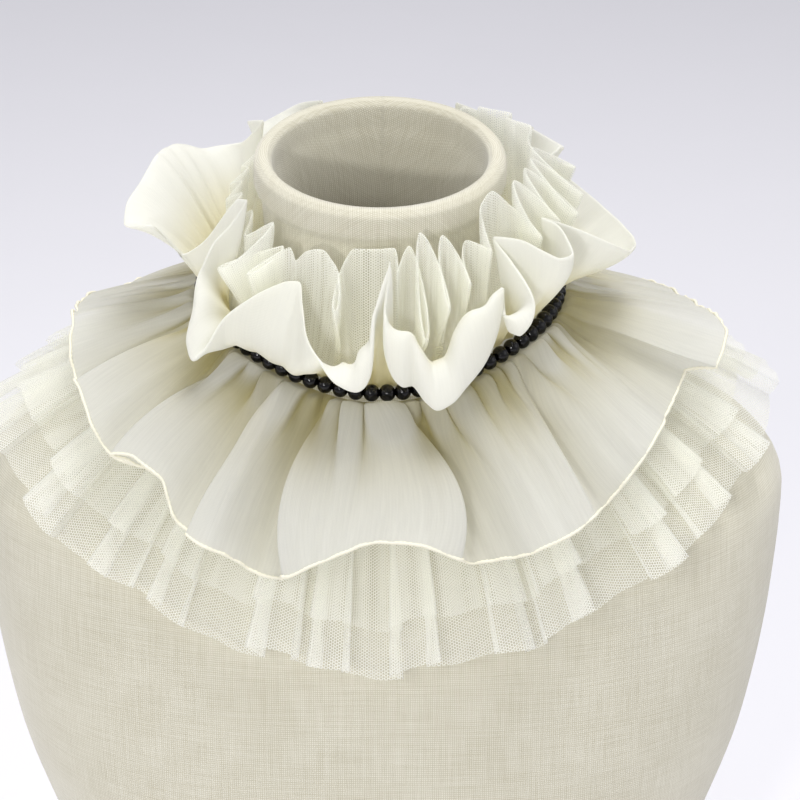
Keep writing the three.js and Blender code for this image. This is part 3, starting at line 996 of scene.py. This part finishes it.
# The beads lie in a groove above the lower layers: its depth, its outer edge and how it slopes up again.
BEAD_ROOM = 2.6
BEAD_EDGE = 77.5
BEAD_SLOPE = 0.9
# Golden painted shade in the cloth's gathers: how much by the seam, between the puffs and in the valleys
# of its folds.
SEAM_PAINTED_SHADE = 0.15
PUFF_PAINTED_SHADE = 0.9
VALLEY_PAINTED_SHADE = 0.45
VALLEY_DEPTH = 16.0
VALLEY_FADE = 0.6
PUFF_EDGE = 2.2
# Least share of the folds' height that is left on the shoulders, where the cloth is drawn tight.
SHOULDER_SHARE = 0.25
# The swell of a whole layer by its seam: how far down it is highest, and its width squared.
HUMP_AT = 6.0
HUMP_WIDTH = 60.0
PLEAT_ONSET = 0.8
HEM_TRIM = 3.0
HEM_WAVES = ((1.8, 13, 2), (1.2, 29, 1))
# Long soft creases: how far each set leans on its way down in degrees, its count, phase and height.
CREASES = ((4, 43, 0.4, 1.0), (-5, 71, 2.3, 0.6))


def long_lift(root: Array, length: Array) -> Array:
    """Lift of the long net off the guide line.

    Args:
        root: Degrees from the front, at the seam.
        length: Way down from the seam.

    Returns:
        Millimetres.
    """
    return PLEATS.read(root)[0] * length / GUIDE.net_long


def short_lift(root: Array, length: Array) -> Array:
    """Lift of the short net off the guide line.

    Args:
        root: Degrees from the front, at the seam.
        length: Way down from the seam.

    Returns:
        Millimetres.
    """
    return (1 + SHORT_PLEAT_SHARE) * long_lift(root, length) + LAYER_PITCH


def net_turn(root: Array, share: Array) -> Array:
    """Where net lies round the neck, as its pleats fold under themselves.

    Args:
        root: Degrees from the front, at the seam.
        share: Share of the way down from the seam.

    Returns:
        Degrees from the front.
    """
    return root + PLEATS.read(root)[1] * share**PLEAT_ONSET


def uneven_hem(length: float) -> Callable[[Array], Array]:
    """A hem that wanders a little in and out.

    Args:
        length: Greatest length from the seam.

    Returns:
        The length at each angle.
    """
    return lambda angle: length - HEM_TRIM + ripple(np.radians(angle), *HEM_WAVES)


def flounce_lift(root: Array, length: Array) -> Array:
    """Lift of the chiffon flounce off the guide line.

    Args:
        root: Degrees from the front, at the seam.
        length: Way down from the seam.

    Returns:
        Millimetres.
    """
    waves = FLOUNCE_FOLDS.read("rise", root) * (length / GUIDE.flounce) ** FOLD_ONSET
    return 2 * LAYER_PITCH + CHIFFON_LIFT * length / GUIDE.net_long + waves


def flounce_turn(root: Array, share: Array) -> Array:
    """Where the flounce's cloth lies round the neck, as its folds lean over their valleys.

    Args:
        root: Degrees from the front, at the seam.
        share: Share of the way down from the seam.

    Returns:
        Degrees from the front.
    """
    mid = FLOUNCE_FOLDS.read("mid", root)
    hem = FLOUNCE_FOLDS.read("hem", root)
    turn = root * (1 - share) * (1 - 2 * share) + mid * 4 * share * (1 - share)
    return turn + hem * share * (2 * share - 1)


@dataclass(frozen=True)
class LowerLayer:
    """One of the layers that fall from the seam over the chest and shoulders.

    Attributes:
        name: The piece's name, and the solid's that it replaces.
        patch: Its mesh.
        reach: Length at each angle.
        lift: Distance off the guide line.
        turn: Where the cloth lies round the neck, for its angle at the seam and share of the way down.
        which: Its finish.
        slot: Its material slot.
        cut: Its flat width and length in millimetres, as the mesh has them; see main. Not used.
        gather: Height of the gathers at the seam.
        fade: How far down they die away.
        count: Gathers round the neck.
        crisp: Height of the small sharp folds at the hem.
        folds: How many of them there are round the neck.
        puff: Height of the larger puffs below the seam.
        puffs: How many of them there are round the neck.
        roll: How far they overhang their sides, in degrees.
        hump: How far the whole layer swells up by the seam.
        crease: Height of the long soft creases.
    """

    name: str
    patch: Patch
    reach: Callable[[Array], Array]
    lift: Callable[[Array, Array], Array]
    turn: Callable[[Array, Array], Array]
    which: Finish
    slot: str
    cut: tuple[float, float]
    gather: float = 1.15
    fade: float = 32.0
    count: float = 88.0
    crisp: float = 0.0
    folds: float = 64.0
    puff: float = 0.0
    puffs: float = 40.0
    roll: float = 0.0
    hump: float = 0.0
    crease: float = 0.0

    def painted_shade_share(self) -> Array:
        """How much golden painted shade the cloth gets, at the seam, between the puffs and in the valleys.

        Returns:
            Columns by rows, from 0 to 1.
        """
        root = self.patch.angles() + 0 * self.patch.shares()
        length = self.reach(root) * self.patch.shares()
        height, _ = rolled_gathers(root, length, self.puffs, 1.3 * self.fade)
        near = np.exp(-((length / self.fade) ** 2))
        valley = np.clip(1 - FLOUNCE_FOLDS.read("rise", root) / VALLEY_DEPTH, 0, 1)
        valley = valley * (1 - VALLEY_FADE * self.patch.shares())
        valley = valley * np.clip(1.7 * np.abs(np.cos(np.radians(root))), 0.2, 1)
        between = np.clip(1 - PUFF_EDGE * height, 0, 1)
        # Painted shade by the seam, strongest between the puffs, and painted shade in the valleys of the
        # folds.
        return np.clip(SEAM_PAINTED_SHADE * near + PUFF_PAINTED_SHADE * near * between + VALLEY_PAINTED_SHADE * valley, 0, 1)

    def points(self) -> Array:
        """The layer's surface.

        Returns:
            Columns by rows by 3.
        """
        root = self.patch.angles() + 0 * self.patch.shares()
        share = self.patch.shares()
        length = self.reach(root) * share
        lift = self.lift(root, length)
        near = np.exp(-length / self.fade) * ease(length / 3 + 0.3)
        lift = lift + self.gather * near * gathers(root, self.count, len(self.name))
        height, overhang = rolled_gathers(root, length, self.puffs, self.fade)
        facing = SHOULDER_SHARE + (1 - SHOULDER_SHARE) * np.abs(np.cos(np.radians(root)))
        lift = lift + self.puff * height * facing
        lift = lift + self.hump * np.exp(-((length - HUMP_AT) ** 2) / HUMP_WIDTH)
        for lean, count, phase, high in CREASES:
            soft = high * gathers(root + lean * share, count, phase)
            lift = lift + self.crease * share * (1.5 - share) * soft * facing
        lift = lift + self.crisp * (0.3 + 0.7 * share) * self.sharp_folds(root)
        points = GUIDE.point(self.turn(root, share) + self.roll * overhang, length, lift)
        reach = np.hypot(points[..., 0], points[..., 1])
        angle = np.degrees(np.arctan2(points[..., 0], -points[..., 1]))
        ceiling = SEAM.height(angle) - BEAD_ROOM + BEAD_SLOPE * np.clip(reach - BEAD_EDGE, 0, None)
        points[..., 2] = -np.logaddexp(-points[..., 2], -ceiling)
        return points

    def sharp_folds(self, angle: Array) -> Array:
        """Small sharp folds of stiff net, some strong and some faint.

        Args:
            angle: Degrees from the front.

        Returns:
            From 0 to 1.
        """
        turn = np.radians(angle)
        along = turn * self.folds / (2 * np.pi) + 0.4 * np.sin(5 * turn + len(self.name))
        ridge = np.abs(2 * (along - np.floor(along)) - 1)
        return varied(0.55, 9.3 * np.floor(along + 0.5) + len(self.name)) * ridge

    def build(self) -> bpy.types.Object:
        """Makes the piece.

        Returns:
            The piece.
        """
        points = self.points()
        cloth = flat_cloth(points)
        # The third number carries the share of painted shade.
        cloth[..., 2] = self.painted_shade_share()
        piece = grid_piece(self.name + "_cloth", points, cloth, self.which)
        LOG.info("%s hem %.0f mm", self.name, run_lengths(points, 0)[-1, -1])
        return settle(piece, self.slot, self.name)


@dataclass(frozen=True)
class SergedHem:
    """The overlocked edge of the flounce: a fine cord with a bead of thread at each stitch.

    Attributes:
        radius: The cord's radius between two stitches.
        swell: How much thicker a stitch is.
        stitch: Length of a stitch.
        pucker: How far the cord strays from the hem.
        pucker_waves: Lengths of its stray waves.
        sides: Sides of the cord.
        per_stitch: Rings of points in a stitch.
        tip: Radius of the cord's two ends.
    """

    radius: float = 0.5
    swell: float = 0.35
    stitch: float = 2.0
    pucker: float = 0.4
    pucker_waves: tuple[float, float, float] = (1.7, 4.1, 11.0)
    sides: int = 6
    per_stitch: int = 4
    tip: float = 0.05

    def build(self, edge: Array) -> bpy.types.Object:
        """Makes the edge.

        Args:
            edge: Points along the hem.

        Returns:
            The piece.
        """
        way = run_lengths(edge[:, None, :], 0)[:, 0]
        count = int(way[-1] / self.stitch) * self.per_stitch
        at = np.linspace(0, way[-1], count + 1)
        centre = np.stack([np.interp(at, way, edge[:, k]) for k in range(3)], axis=-1)
        along = np.gradient(centre, axis=0)
        along /= np.linalg.norm(along, axis=-1, keepdims=True)
        side = np.cross(along, [0.0, 0.0, 1.0])
        side /= np.linalg.norm(side, axis=-1, keepdims=True)
        up = np.cross(side, along)
        turn = np.linspace(0, 2 * np.pi, self.sides + 1)[None, :]
        stitch = np.abs(np.sin(np.pi * at / self.stitch))
        short, middle, long = (at / wave for wave in self.pucker_waves)
        uneven = 0.5 * np.sin(short + 2 * np.sin(long)) + 0.5 * np.sin(middle + 1)
        centre = centre + self.pucker * uneven[:, None] * (side + up)
        radius = (self.radius + self.swell * stitch * (0.7 + 0.3 * uneven))[:, None]
        radius[0] = radius[-1] = self.tip
        ring = np.cos(turn)[..., None] * side[:, None] + np.sin(turn)[..., None] * up[:, None]
        points = centre[:, None] + radius[..., None] * ring
        cloth = np.stack([at[:, None] + 0 * turn, radius * turn, 0 * radius + 0 * turn], axis=-1)
        piece = grid_piece("flounce_serged_hem", points, cloth, Finish.SERGING, close=True)
        return settle(piece, "chiffon")


# --------------------------------------------------------------------------------------
# Upper ruffles
# --------------------------------------------------------------------------------------
@dataclass(frozen=True)
class UpperRuffle:
    """A doubled ruffle that stands up from the seam, its edge a fold.

    Attributes:
        name: The piece's name, and the solid's that it replaces.
        patch: Its mesh; the rows go up the outside and down the inside.
        root: Distance of the seam from the axis.
        half_gap: Half the distance between the two layers.
        which: Its finish.
        slot: Its material slot.
        cut: Its flat width and length in millimetres, as the mesh has them; see main. Not used.
        root_lift: Height of the ruffle's foot over the seam line.
        stem: How far up from its foot it leaves straight.
        bulge: How far it swells out over the beads.
        gather: Height of the gathers at the seam.
        fade: Share of the way up that they reach.
        count: Gathers round the neck.
        pleat: Height of the long soft pleats between the seam and the edge.
        pleat_lean: How far they lean on their way, in degrees.
        round_end: Share of the way over which the two layers close into the fold.
        pleat_start: Share of the way over which they rise from the seam.
        pleat_end: Share of the way over which they sink again to the edge.
        painted_seam_shade: How much golden painted shade the cloth gets by the seam, from 0 to 1.
        painted_seam_shade_end: Share of the way over which that fades.
    """

    name: str
    patch: Patch
    root: float
    half_gap: float
    which: Finish
    slot: str
    cut: tuple[float, float]
    root_lift: float = 1.0
    stem: float = 14.0
    bulge: float = 1.0
    gather: float = 2.3
    fade: float = 0.42
    count: float = 66.0
    pleat: float = 0.8
    pleat_lean: float = 3.0
    round_end: float = 0.04
    pleat_start: float = 0.35
    pleat_end: float = 0.5
    painted_seam_shade: float = 0.75
    painted_seam_shade_end: float = 0.75

    def swing(self, root: Array, t: Array, belly: Sequence[Array], edge: Sequence[Array]) -> Array:
        """The line from the seam to the edge.

        Args:
            root: Angle at the seam.
            t: Share of the way.
            belly: Reach and height of what the line swings through.
            edge: Angle, reach and height of the edge.

        Returns:
            X, Y, Z.
        """
        start = SEAM.height(root) + self.root_lift
        weights = ((1 - t) ** 3, 3 * t * (1 - t) ** 2, 3 * t * t * (1 - t), t**3)
        reach = weights[0] * self.root + weights[1] * (self.root + self.bulge)
        reach = reach + weights[2] * belly[0] + weights[3] * edge[1]
        height = weights[0] * start + weights[1] * (start + self.stem)
        height = height + weights[2] * belly[1] + weights[3] * edge[2]
        turn = root + (edge[0] - root) * (1 - (1 - t) ** 2)
        return around(turn, reach, height)

    def surface(self, angle: Array, t: Array) -> Array:
        """Middle surface of the ruffle.

        Args:
            angle: Degrees from the front.
            t: Share of the way from the seam to the fold.

        Returns:
            X, Y, Z.
        """
        raise NotImplementedError

    def build(self) -> bpy.types.Object:
        """Makes the piece.

        Returns:
            The piece.
        """
        angle = self.patch.angles()
        half = np.sin(np.linspace(0, math.pi / 2, self.patch.rows + 1))[None, :]
        middle = self.surface(angle + 0 * half, half + 0 * angle)
        normal = grid_normals(middle)
        near = np.exp(-half / self.fade) * ease(half * 12 + 0.3)
        bump = self.gather * near * gathers(angle, self.count, len(self.name))
        long = ease(half / self.pleat_start) * ease((1 - half) / self.pleat_end)
        bump = bump + self.pleat * long * gathers(angle + self.pleat_lean * half, 0.6 * self.count, 1.1)
        middle = middle + normal * bump[..., None]
        closed = np.clip((half - 1 + self.round_end) / self.round_end, 0, 1)
        gap = self.half_gap * np.sqrt(np.clip(1 - closed**2, 0, 1))
        outer = middle + normal * gap[..., None]
        inner = middle - normal * gap[..., None]
        points = np.concatenate([outer, inner[:, ::-1][:, 1:]], axis=1)
        fold = self.patch.rows
        along = run_lengths(points, 0)[:, fold : fold + 1]
        down = run_lengths(points, 1)
        share = np.concatenate([half, half[:, ::-1][:, 1:]], axis=1)
        # Golden painted shade by the seam, on both faces, fading on the way to the fold.
        painted_shade_share = self.painted_seam_shade * (1 - ease(share / self.painted_seam_shade_end)) + 0 * down
        cloth = np.stack([along + 0 * down, down, painted_shade_share], axis=-1)
        piece = grid_piece(self.name + "_cloth", points, cloth, self.which)
        LOG.info("%s edge %.0f mm", self.name, along[-1, 0])
        return settle(piece, self.slot, self.name)


@dataclass(frozen=True)
class ChiffonRuffle(UpperRuffle):
    """The outer ruffle: big lobes that fall over the beads."""

    def surface(self, angle: Array, t: Array) -> Array:
        """See UpperRuffle.surface.

        Args:
            angle: Degrees from the front.
            t: Share of the way from the seam to the fold.

        Returns:
            X, Y, Z.
        """
        columns = (CHIFFON_LOOPS.read(key, angle) for key in CHIFFON_LOOPS.keys)
        turn, reach, height, belly, belly_height = columns
        edge = (turn, reach, height + SEAM.datum)
        return self.swing(angle, t, (belly, belly_height + SEAM.datum), edge)


@dataclass(frozen=True)
class NetRuffle(UpperRuffle):
    """The inner ruffle: narrow loops of net close to the neck.

    Attributes:
        inner_reach: Reach of the loops that lie against the neck.
        lean: How soon an outer loop leans out.
        belly_share: Height of what the cloth swings through, as a share of the edge's.
        overlap: How far a loop is wider than its foot, in degrees for a millimetre of reach and degree.
        spread: Width of the loops that count as one, in degrees.
    """

    inner_reach: float = 60.0
    lean: float = 0.78
    belly_share: float = 0.66
    overlap: float = 0.17
    spread: float = 6.0

    def overhang(self, angle: Array, reach: Array) -> Array:
        """Sideways shift that widens each loop at its top and folds it under where it leans out.

        Args:
            angle: Degrees from the front.
            reach: Reach of the edge at each angle.

        Returns:
            Degrees.
        """
        step = (angle[-1, 0] - angle[0, 0]) / (len(angle) - 1)
        off = np.arange(-int(3 * self.spread / step), int(3 * self.spread / step) + 1) * step
        bell = np.exp(-((off / self.spread) ** 2) / 2)
        bell /= bell.sum()
        half = len(off) // 2
        line = reach[:, 0]
        swung = np.cumsum(np.convolve(np.pad(line, half, mode="edge"), bell, mode="valid") - line) * step
        level = np.convolve(np.pad(swung, half, mode="edge"), bell, mode="valid")
        return self.overlap * (swung - level)[:, None]

    def surface(self, angle: Array, t: Array) -> Array:
        """See UpperRuffle.surface.

        Args:
            angle: Degrees from the front.
            t: Share of the way from the seam to the fold.

        Returns:
            X, Y, Z.
        """
        turn, reach, height = (NET_LOOPS.read(key, angle) for key in NET_LOOPS.keys)
        height = height + SEAM.datum
        base = SEAM.height(angle)
        out = self.inner_reach + self.lean * (reach - self.inner_reach)
        belly = (out, base + self.belly_share * (height - base))
        return self.swing(angle, t, belly, (turn + self.overhang(angle, reach), reach, height))


# --------------------------------------------------------------------------------------
# Beads
# --------------------------------------------------------------------------------------
@dataclass(frozen=True)
class BeadStrand:
    """Round black beads, touching, on a waxed thread along the seam.

    Attributes:
        count: Beads on the thread.
        diameter: A bead's width.
        uneven: How much the beads differ in size, as a share.
        reach: The thread's distance from the axis.
        lift: Its height over the seam.
        swell: How much wider than long a bead is.
        segments: Sides of a bead.
        rings: Steps from end to end of a bead.
        thread_radius: The thread's radius.
        thread_sides: Its sides.
    """

    count: int = 74
    diameter: float = 6.75
    uneven: float = 0.012
    reach: float = 75.5
    lift: float = 0.8
    swell: float = 1.06
    segments: int = 20
    rings: int = 12
    thread_radius: float = 0.35
    thread_sides: int = 8

    def spot(self, angle: float) -> Vector:
        """A point on the thread.

        Args:
            angle: Degrees from the front.

        Returns:
            The point, in metres.
        """
        height = float(SEAM.height(np.array(angle))) + self.lift
        x, y, z = around(np.array(angle), np.array(self.reach), np.array(height))
        return Vector((float(x), float(y), float(z))) * MM

    def build(self) -> bpy.types.Object:
        """Makes the beads and their thread.

        Returns:
            The beads.
        """
        pitch = 2 * OPENING_ANGLE / self.count
        bm = bmesh.new()
        for k in range(self.count):
            angle = -OPENING_ANGLE + (k + 0.5) * pitch
            along = (self.spot(angle + 0.5) - self.spot(angle - 0.5)).normalized()
            size = self.diameter * (1 + self.uneven * math.sin(5.3 * k))
            turn = along.to_track_quat("Z", "Y").to_matrix().to_4x4()
            shape = Matrix.Diagonal((self.swell, self.swell, 1.0, 1.0))
            bmesh.ops.create_uvsphere(
                bm,
                u_segments=self.segments,
                v_segments=self.rings,
                radius=size / 2 * MM,
                matrix=Matrix.Translation(self.spot(angle)) @ turn @ shape,
            )
        piece = place_mesh("bead_strand_beads", bm, Finish.BEAD)
        settle(piece, "beads", "bead_strand")
        self.build_thread()
        return piece

    def build_thread(self) -> bpy.types.Object:
        """Makes the thread through the beads.

        Returns:
            The thread.
        """
        angles = np.linspace(-OPENING_ANGLE, OPENING_ANGLE, self.count * 2 + 1)
        turn = np.linspace(0, 2 * np.pi, self.thread_sides + 1)[None, :]
        height = SEAM.height(angles)[:, None] + self.lift + self.thread_radius * np.sin(turn)
        reach = self.reach + self.thread_radius * np.cos(turn) + 0 * height
        points = around(angles[:, None] + 0 * turn, reach, height)
        cloth = np.stack([angles[:, None] + 0 * turn, 0 * height, 0 * height], axis=-1)
        piece = grid_piece("bead_strand_thread", points, cloth, Finish.THREAD, close=True)
        return settle(piece, "beads")


# --------------------------------------------------------------------------------------
# Dress form
# --------------------------------------------------------------------------------------
@dataclass(frozen=True)
class DressForm:
    """A linen-covered hollow form with an open neck and a rolled rim.

    Attributes:
        sections: Level, half width, depth to the front and back, forward tilt, roundness, and the
            wall inward and downward, from the rim down.
        columns: Steps round the form.
        rows: Steps from the rim to the base.
        crowding: How much closer the rows are by the rim.
    """

    sections: tuple[Columns, ...] = (
        (440, 50.6, 50.6, 50.6, 0.14, 2, 3.8, 0), (437.5, 52.6, 52.6, 52.6, 0.14, 2, 7.4, 0),
        (430, 53, 53, 53, 0.14, 2, 8.2, 0), (424, 50.2, 50.2, 50.2, 0.13, 2, 6, 0),
        (398, 48.5, 49, 50, 0.1, 2, 6, 0), (380, 51, 51, 54, 0.06, 2, 6, 2),
        (367, 60, 55, 60, 0.02, 2, 5, 5), (350, 96, 68, 76, 0, 1.9, 4, 6),
        (334, 132, 82, 88, 0, 1.7, 4, 6), (317, 161, 94, 97, 0, 1.8, 5, 5),
        (292, 175, 108, 104, 0, 2.1, 6, 1), (250, 172, 119, 106, 0, 2.3, 6, 0),
        (195, 163, 125, 102, 0, 2.4, 6, 0), (120, 142, 115, 90, 0, 2.3, 6, 0),
        (10.3, 124, 98, 82, 0, 2.2, 6, 0),
    )  # fmt: skip
    columns: int = 180
    rows: int = 110
    crowding: float = 1.6

    def rings(self, inside: float) -> Array:
        """One skin of the form, from the rim down.

        Args:
            inside: 0 for the outer skin and 1 for the inner.

        Returns:
            Columns by rows by 3.
        """
        table = np.array(self.sections, float)
        way = np.concatenate([[0], np.cumsum(np.hypot(np.diff(table[:, 0]), np.diff(table[:, 1])))])
        at = np.linspace(0, 1, self.rows + 1) ** self.crowding * way[-1]
        level, half, front, back, tilt, round_, wall_in, wall_down = (
            smooth_through(way, column, at)[None, :] for column in table.T
        )
        turn = np.linspace(-np.pi, np.pi, self.columns + 1)[:, None]
        sin, cos = np.sin(turn), np.cos(turn)
        power = 2 / round_
        x = (half - inside * wall_in) * np.sign(sin) * np.abs(sin) ** power
        deep = np.where(cos > 0, front, back) - inside * wall_in
        y = -deep * np.sign(cos) * np.abs(cos) ** power
        z = level - inside * wall_down + tilt * y
        return np.stack([x, y, z], axis=-1)

    def build(self) -> bpy.types.Object:
        """Makes the cover, inside and out.

        Returns:
            The piece.
        """
        outer, inner = self.rings(0.0), self.rings(1.0)
        points = np.concatenate([outer[:, ::-1], inner, outer[:, -1:]], axis=1)
        around_way = run_lengths(points, 0)
        around_way = around_way - around_way[self.columns // 2]
        cloth = np.stack([around_way, run_lengths(points, 1), 0 * around_way], axis=-1)
        piece = grid_piece("form_cover", points, cloth, Finish.LINEN, close=True)
        return settle(piece, "linen", "form_front", "form_back")


# --------------------------------------------------------------------------------------
# Stage
# --------------------------------------------------------------------------------------
def facing_turn(place: Sequence[float], aim: Sequence[float]) -> Euler:
    """The turn of a lamp or camera that looks at a point.

    Args:
        place: Where it stands.
        aim: What it looks at.

    Returns:
        Its turn.
    """
    return (Vector(aim) - Vector(place)).to_track_quat("-Z", "Y").to_euler()


@dataclass(frozen=True)
class Lamp:
    """A soft box.

    Attributes:
        name: Its name.
        place: Where it stands, in metres.
        aim: What it points at.
        size: Width of its face.
        power: Watts.
    """

    name: str
    place: tuple[float, float, float]
    aim: tuple[float, float, float]
    size: float
    power: float

    def build(self) -> None:
        """Puts the lamp up."""
        light = bpy.data.lights.new(self.name, "AREA")
        light.size, light.energy = self.size, self.power
        lamp = bpy.data.objects.new(self.name, light)
        lamp.location = self.place
        lamp.rotation_euler = facing_turn(self.place, self.aim)
        bpy.context.scene.collection.objects.link(lamp)


@dataclass(frozen=True)
class Studio:
    """Pale floor, soft light and the camera above the front of the collar.

    Attributes:
        camera_place: Where the camera stands, in metres.
        camera_aim: What it looks at.
        lens: Its focal length.
        sensor: Width of its sensor.
        far: How far it sees.
        floor_half: Half the floor's width.
        world: Colour of the light from all round.
        world_strength: Its strength.
        sheer_layers: How many layers of net light passes before it is lost.
        lamps: The soft boxes.
    """

    camera_place: tuple[float, float, float] = (0.00833, -1.13124, 0.85349)
    camera_aim: tuple[float, float, float] = (0.00833, -0.04367, 0.34635)
    lens: float = 129.6
    sensor: float = 36.0
    far: float = 50.0
    floor_half: float = 8.0
    world: str = "#e4e4ea"
    world_strength: float = 0.6
    sheer_layers: int = 48
    lamps: tuple[Lamp, ...] = (
        Lamp("top", (0.25, 0.15, 2.1), (0.0, -0.05, 0.36), 0.9, 25.0),
        Lamp("front", (-0.8, -1.7, 1.35), (0.0, 0.0, 0.36), 0.55, 7.0),
        Lamp("spark", (-0.3, -1.35, 0.7), (0.0, -0.08, 0.36), 0.08, 4.2),
        Lamp("side", (1.6, -0.5, 1.1), (0.0, 0.0, 0.36), 1.2, 4.0),
        Lamp("left", (-1.6, -0.3, 1.2), (0.0, 0.0, 0.36), 1.2, 3.0),
    )

    def build(self) -> None:
        """Sets the stage."""
        scene = bpy.context.scene
        bm = bmesh.new()
        bmesh.ops.create_grid(bm, x_segments=1, y_segments=1, size=self.floor_half)
        place_mesh("studio_floor", bm, Finish.FLOOR)
        world = bpy.data.worlds.new("studio")
        world.use_nodes = True
        sky = world.node_tree.nodes["Background"]
        sky.inputs["Color"].default_value = srgb(self.world)
        sky.inputs["Strength"].default_value = self.world_strength
        scene.world = world
        for lamp in self.lamps:
            lamp.build()
        camera = bpy.data.cameras.new("camera")
        camera.lens, camera.sensor_width = self.lens, self.sensor
        camera.clip_end = self.far
        seen = bpy.data.objects.new("camera", camera)
        seen.location = self.camera_place
        seen.rotation_euler = facing_turn(self.camera_place, self.camera_aim)
        scene.collection.objects.link(seen)
        scene.camera = seen
        scene.view_settings.view_transform = "Standard"
        scene.cycles.transparent_max_bounces = self.sheer_layers


# --------------------------------------------------------------------------------------
# Assembly
# --------------------------------------------------------------------------------------
def dress_solids() -> None:
    """Gives the solids that stay shown their finish."""
    shown = {
        "neck_band": (Finish.CHIFFON_BAND, "chiffon"),
        "closure_hook": (Finish.WIRE, "wire"),
        "closure_eye": (Finish.WIRE, "wire"),
        "form_base": (Finish.BOARD, "board"),
    }
    for name, (which, slot) in shown.items():
        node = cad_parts[name]
        node.data.materials.clear()
        node.data.materials.append(finish(which))


def main() -> None:
    """Builds the whole scene.

    The flounce's flat width is its hem's. The nets' and upper ruffles' is only the mean of their seam
    and free edge: they are sewn from longer strips, whose finest gathers the meshes leave out.
    """
    Studio().build()
    DressForm().build()
    dress_solids()
    long_net = LowerLayer(
        "lower_net_long", Patch(1260, 44), uneven_hem(GUIDE.net_long + 2), long_lift, net_turn,
        Finish.NET_LOWER, "net", (1100, 108), crisp=2.4,
    )  # fmt: skip
    short_net = LowerLayer(
        "lower_net_short", Patch(1260, 36), uneven_hem(GUIDE.net_short + 1), short_lift, net_turn,
        Finish.NET_LOWER, "net", (1030, 90), crisp=2.0, folds=57,
    )  # fmt: skip
    flounce = LowerLayer(
        "lower_chiffon_flounce", Patch(1260, 60), lambda angle: FLOUNCE_FOLDS.read("reach", angle),
        flounce_lift, flounce_turn, Finish.CHIFFON_SINGLE, "chiffon", (1060, 70), gather=1.0,
        fade=30.0, puff=8.5, roll=1.7, puffs=58.0, hump=2.5, crease=1.2,
    )  # fmt: skip
    for layer in (long_net, short_net):
        layer.build()
    hem = SergedHem().build(flounce.points()[:, -1])
    flounce.build()
    BeadStrand().build()
    net = NetRuffle(
        "upper_net_ruffle", Patch(1100, 30), 67.0, 0.6, Finish.NET_UPPER, "net", (860, 104)
    )
    chiffon = ChiffonRuffle(
        "upper_chiffon_ruffle", Patch(1100, 40), 69.0, 0.6, Finish.CHIFFON_DOUBLE, "chiffon",
        (900, 96), stem=10.0, bulge=7.0,
    )  # fmt: skip
    for ruffle in (net, chiffon):
        ruffle.build()


if __name__ == "__main__":
    main()
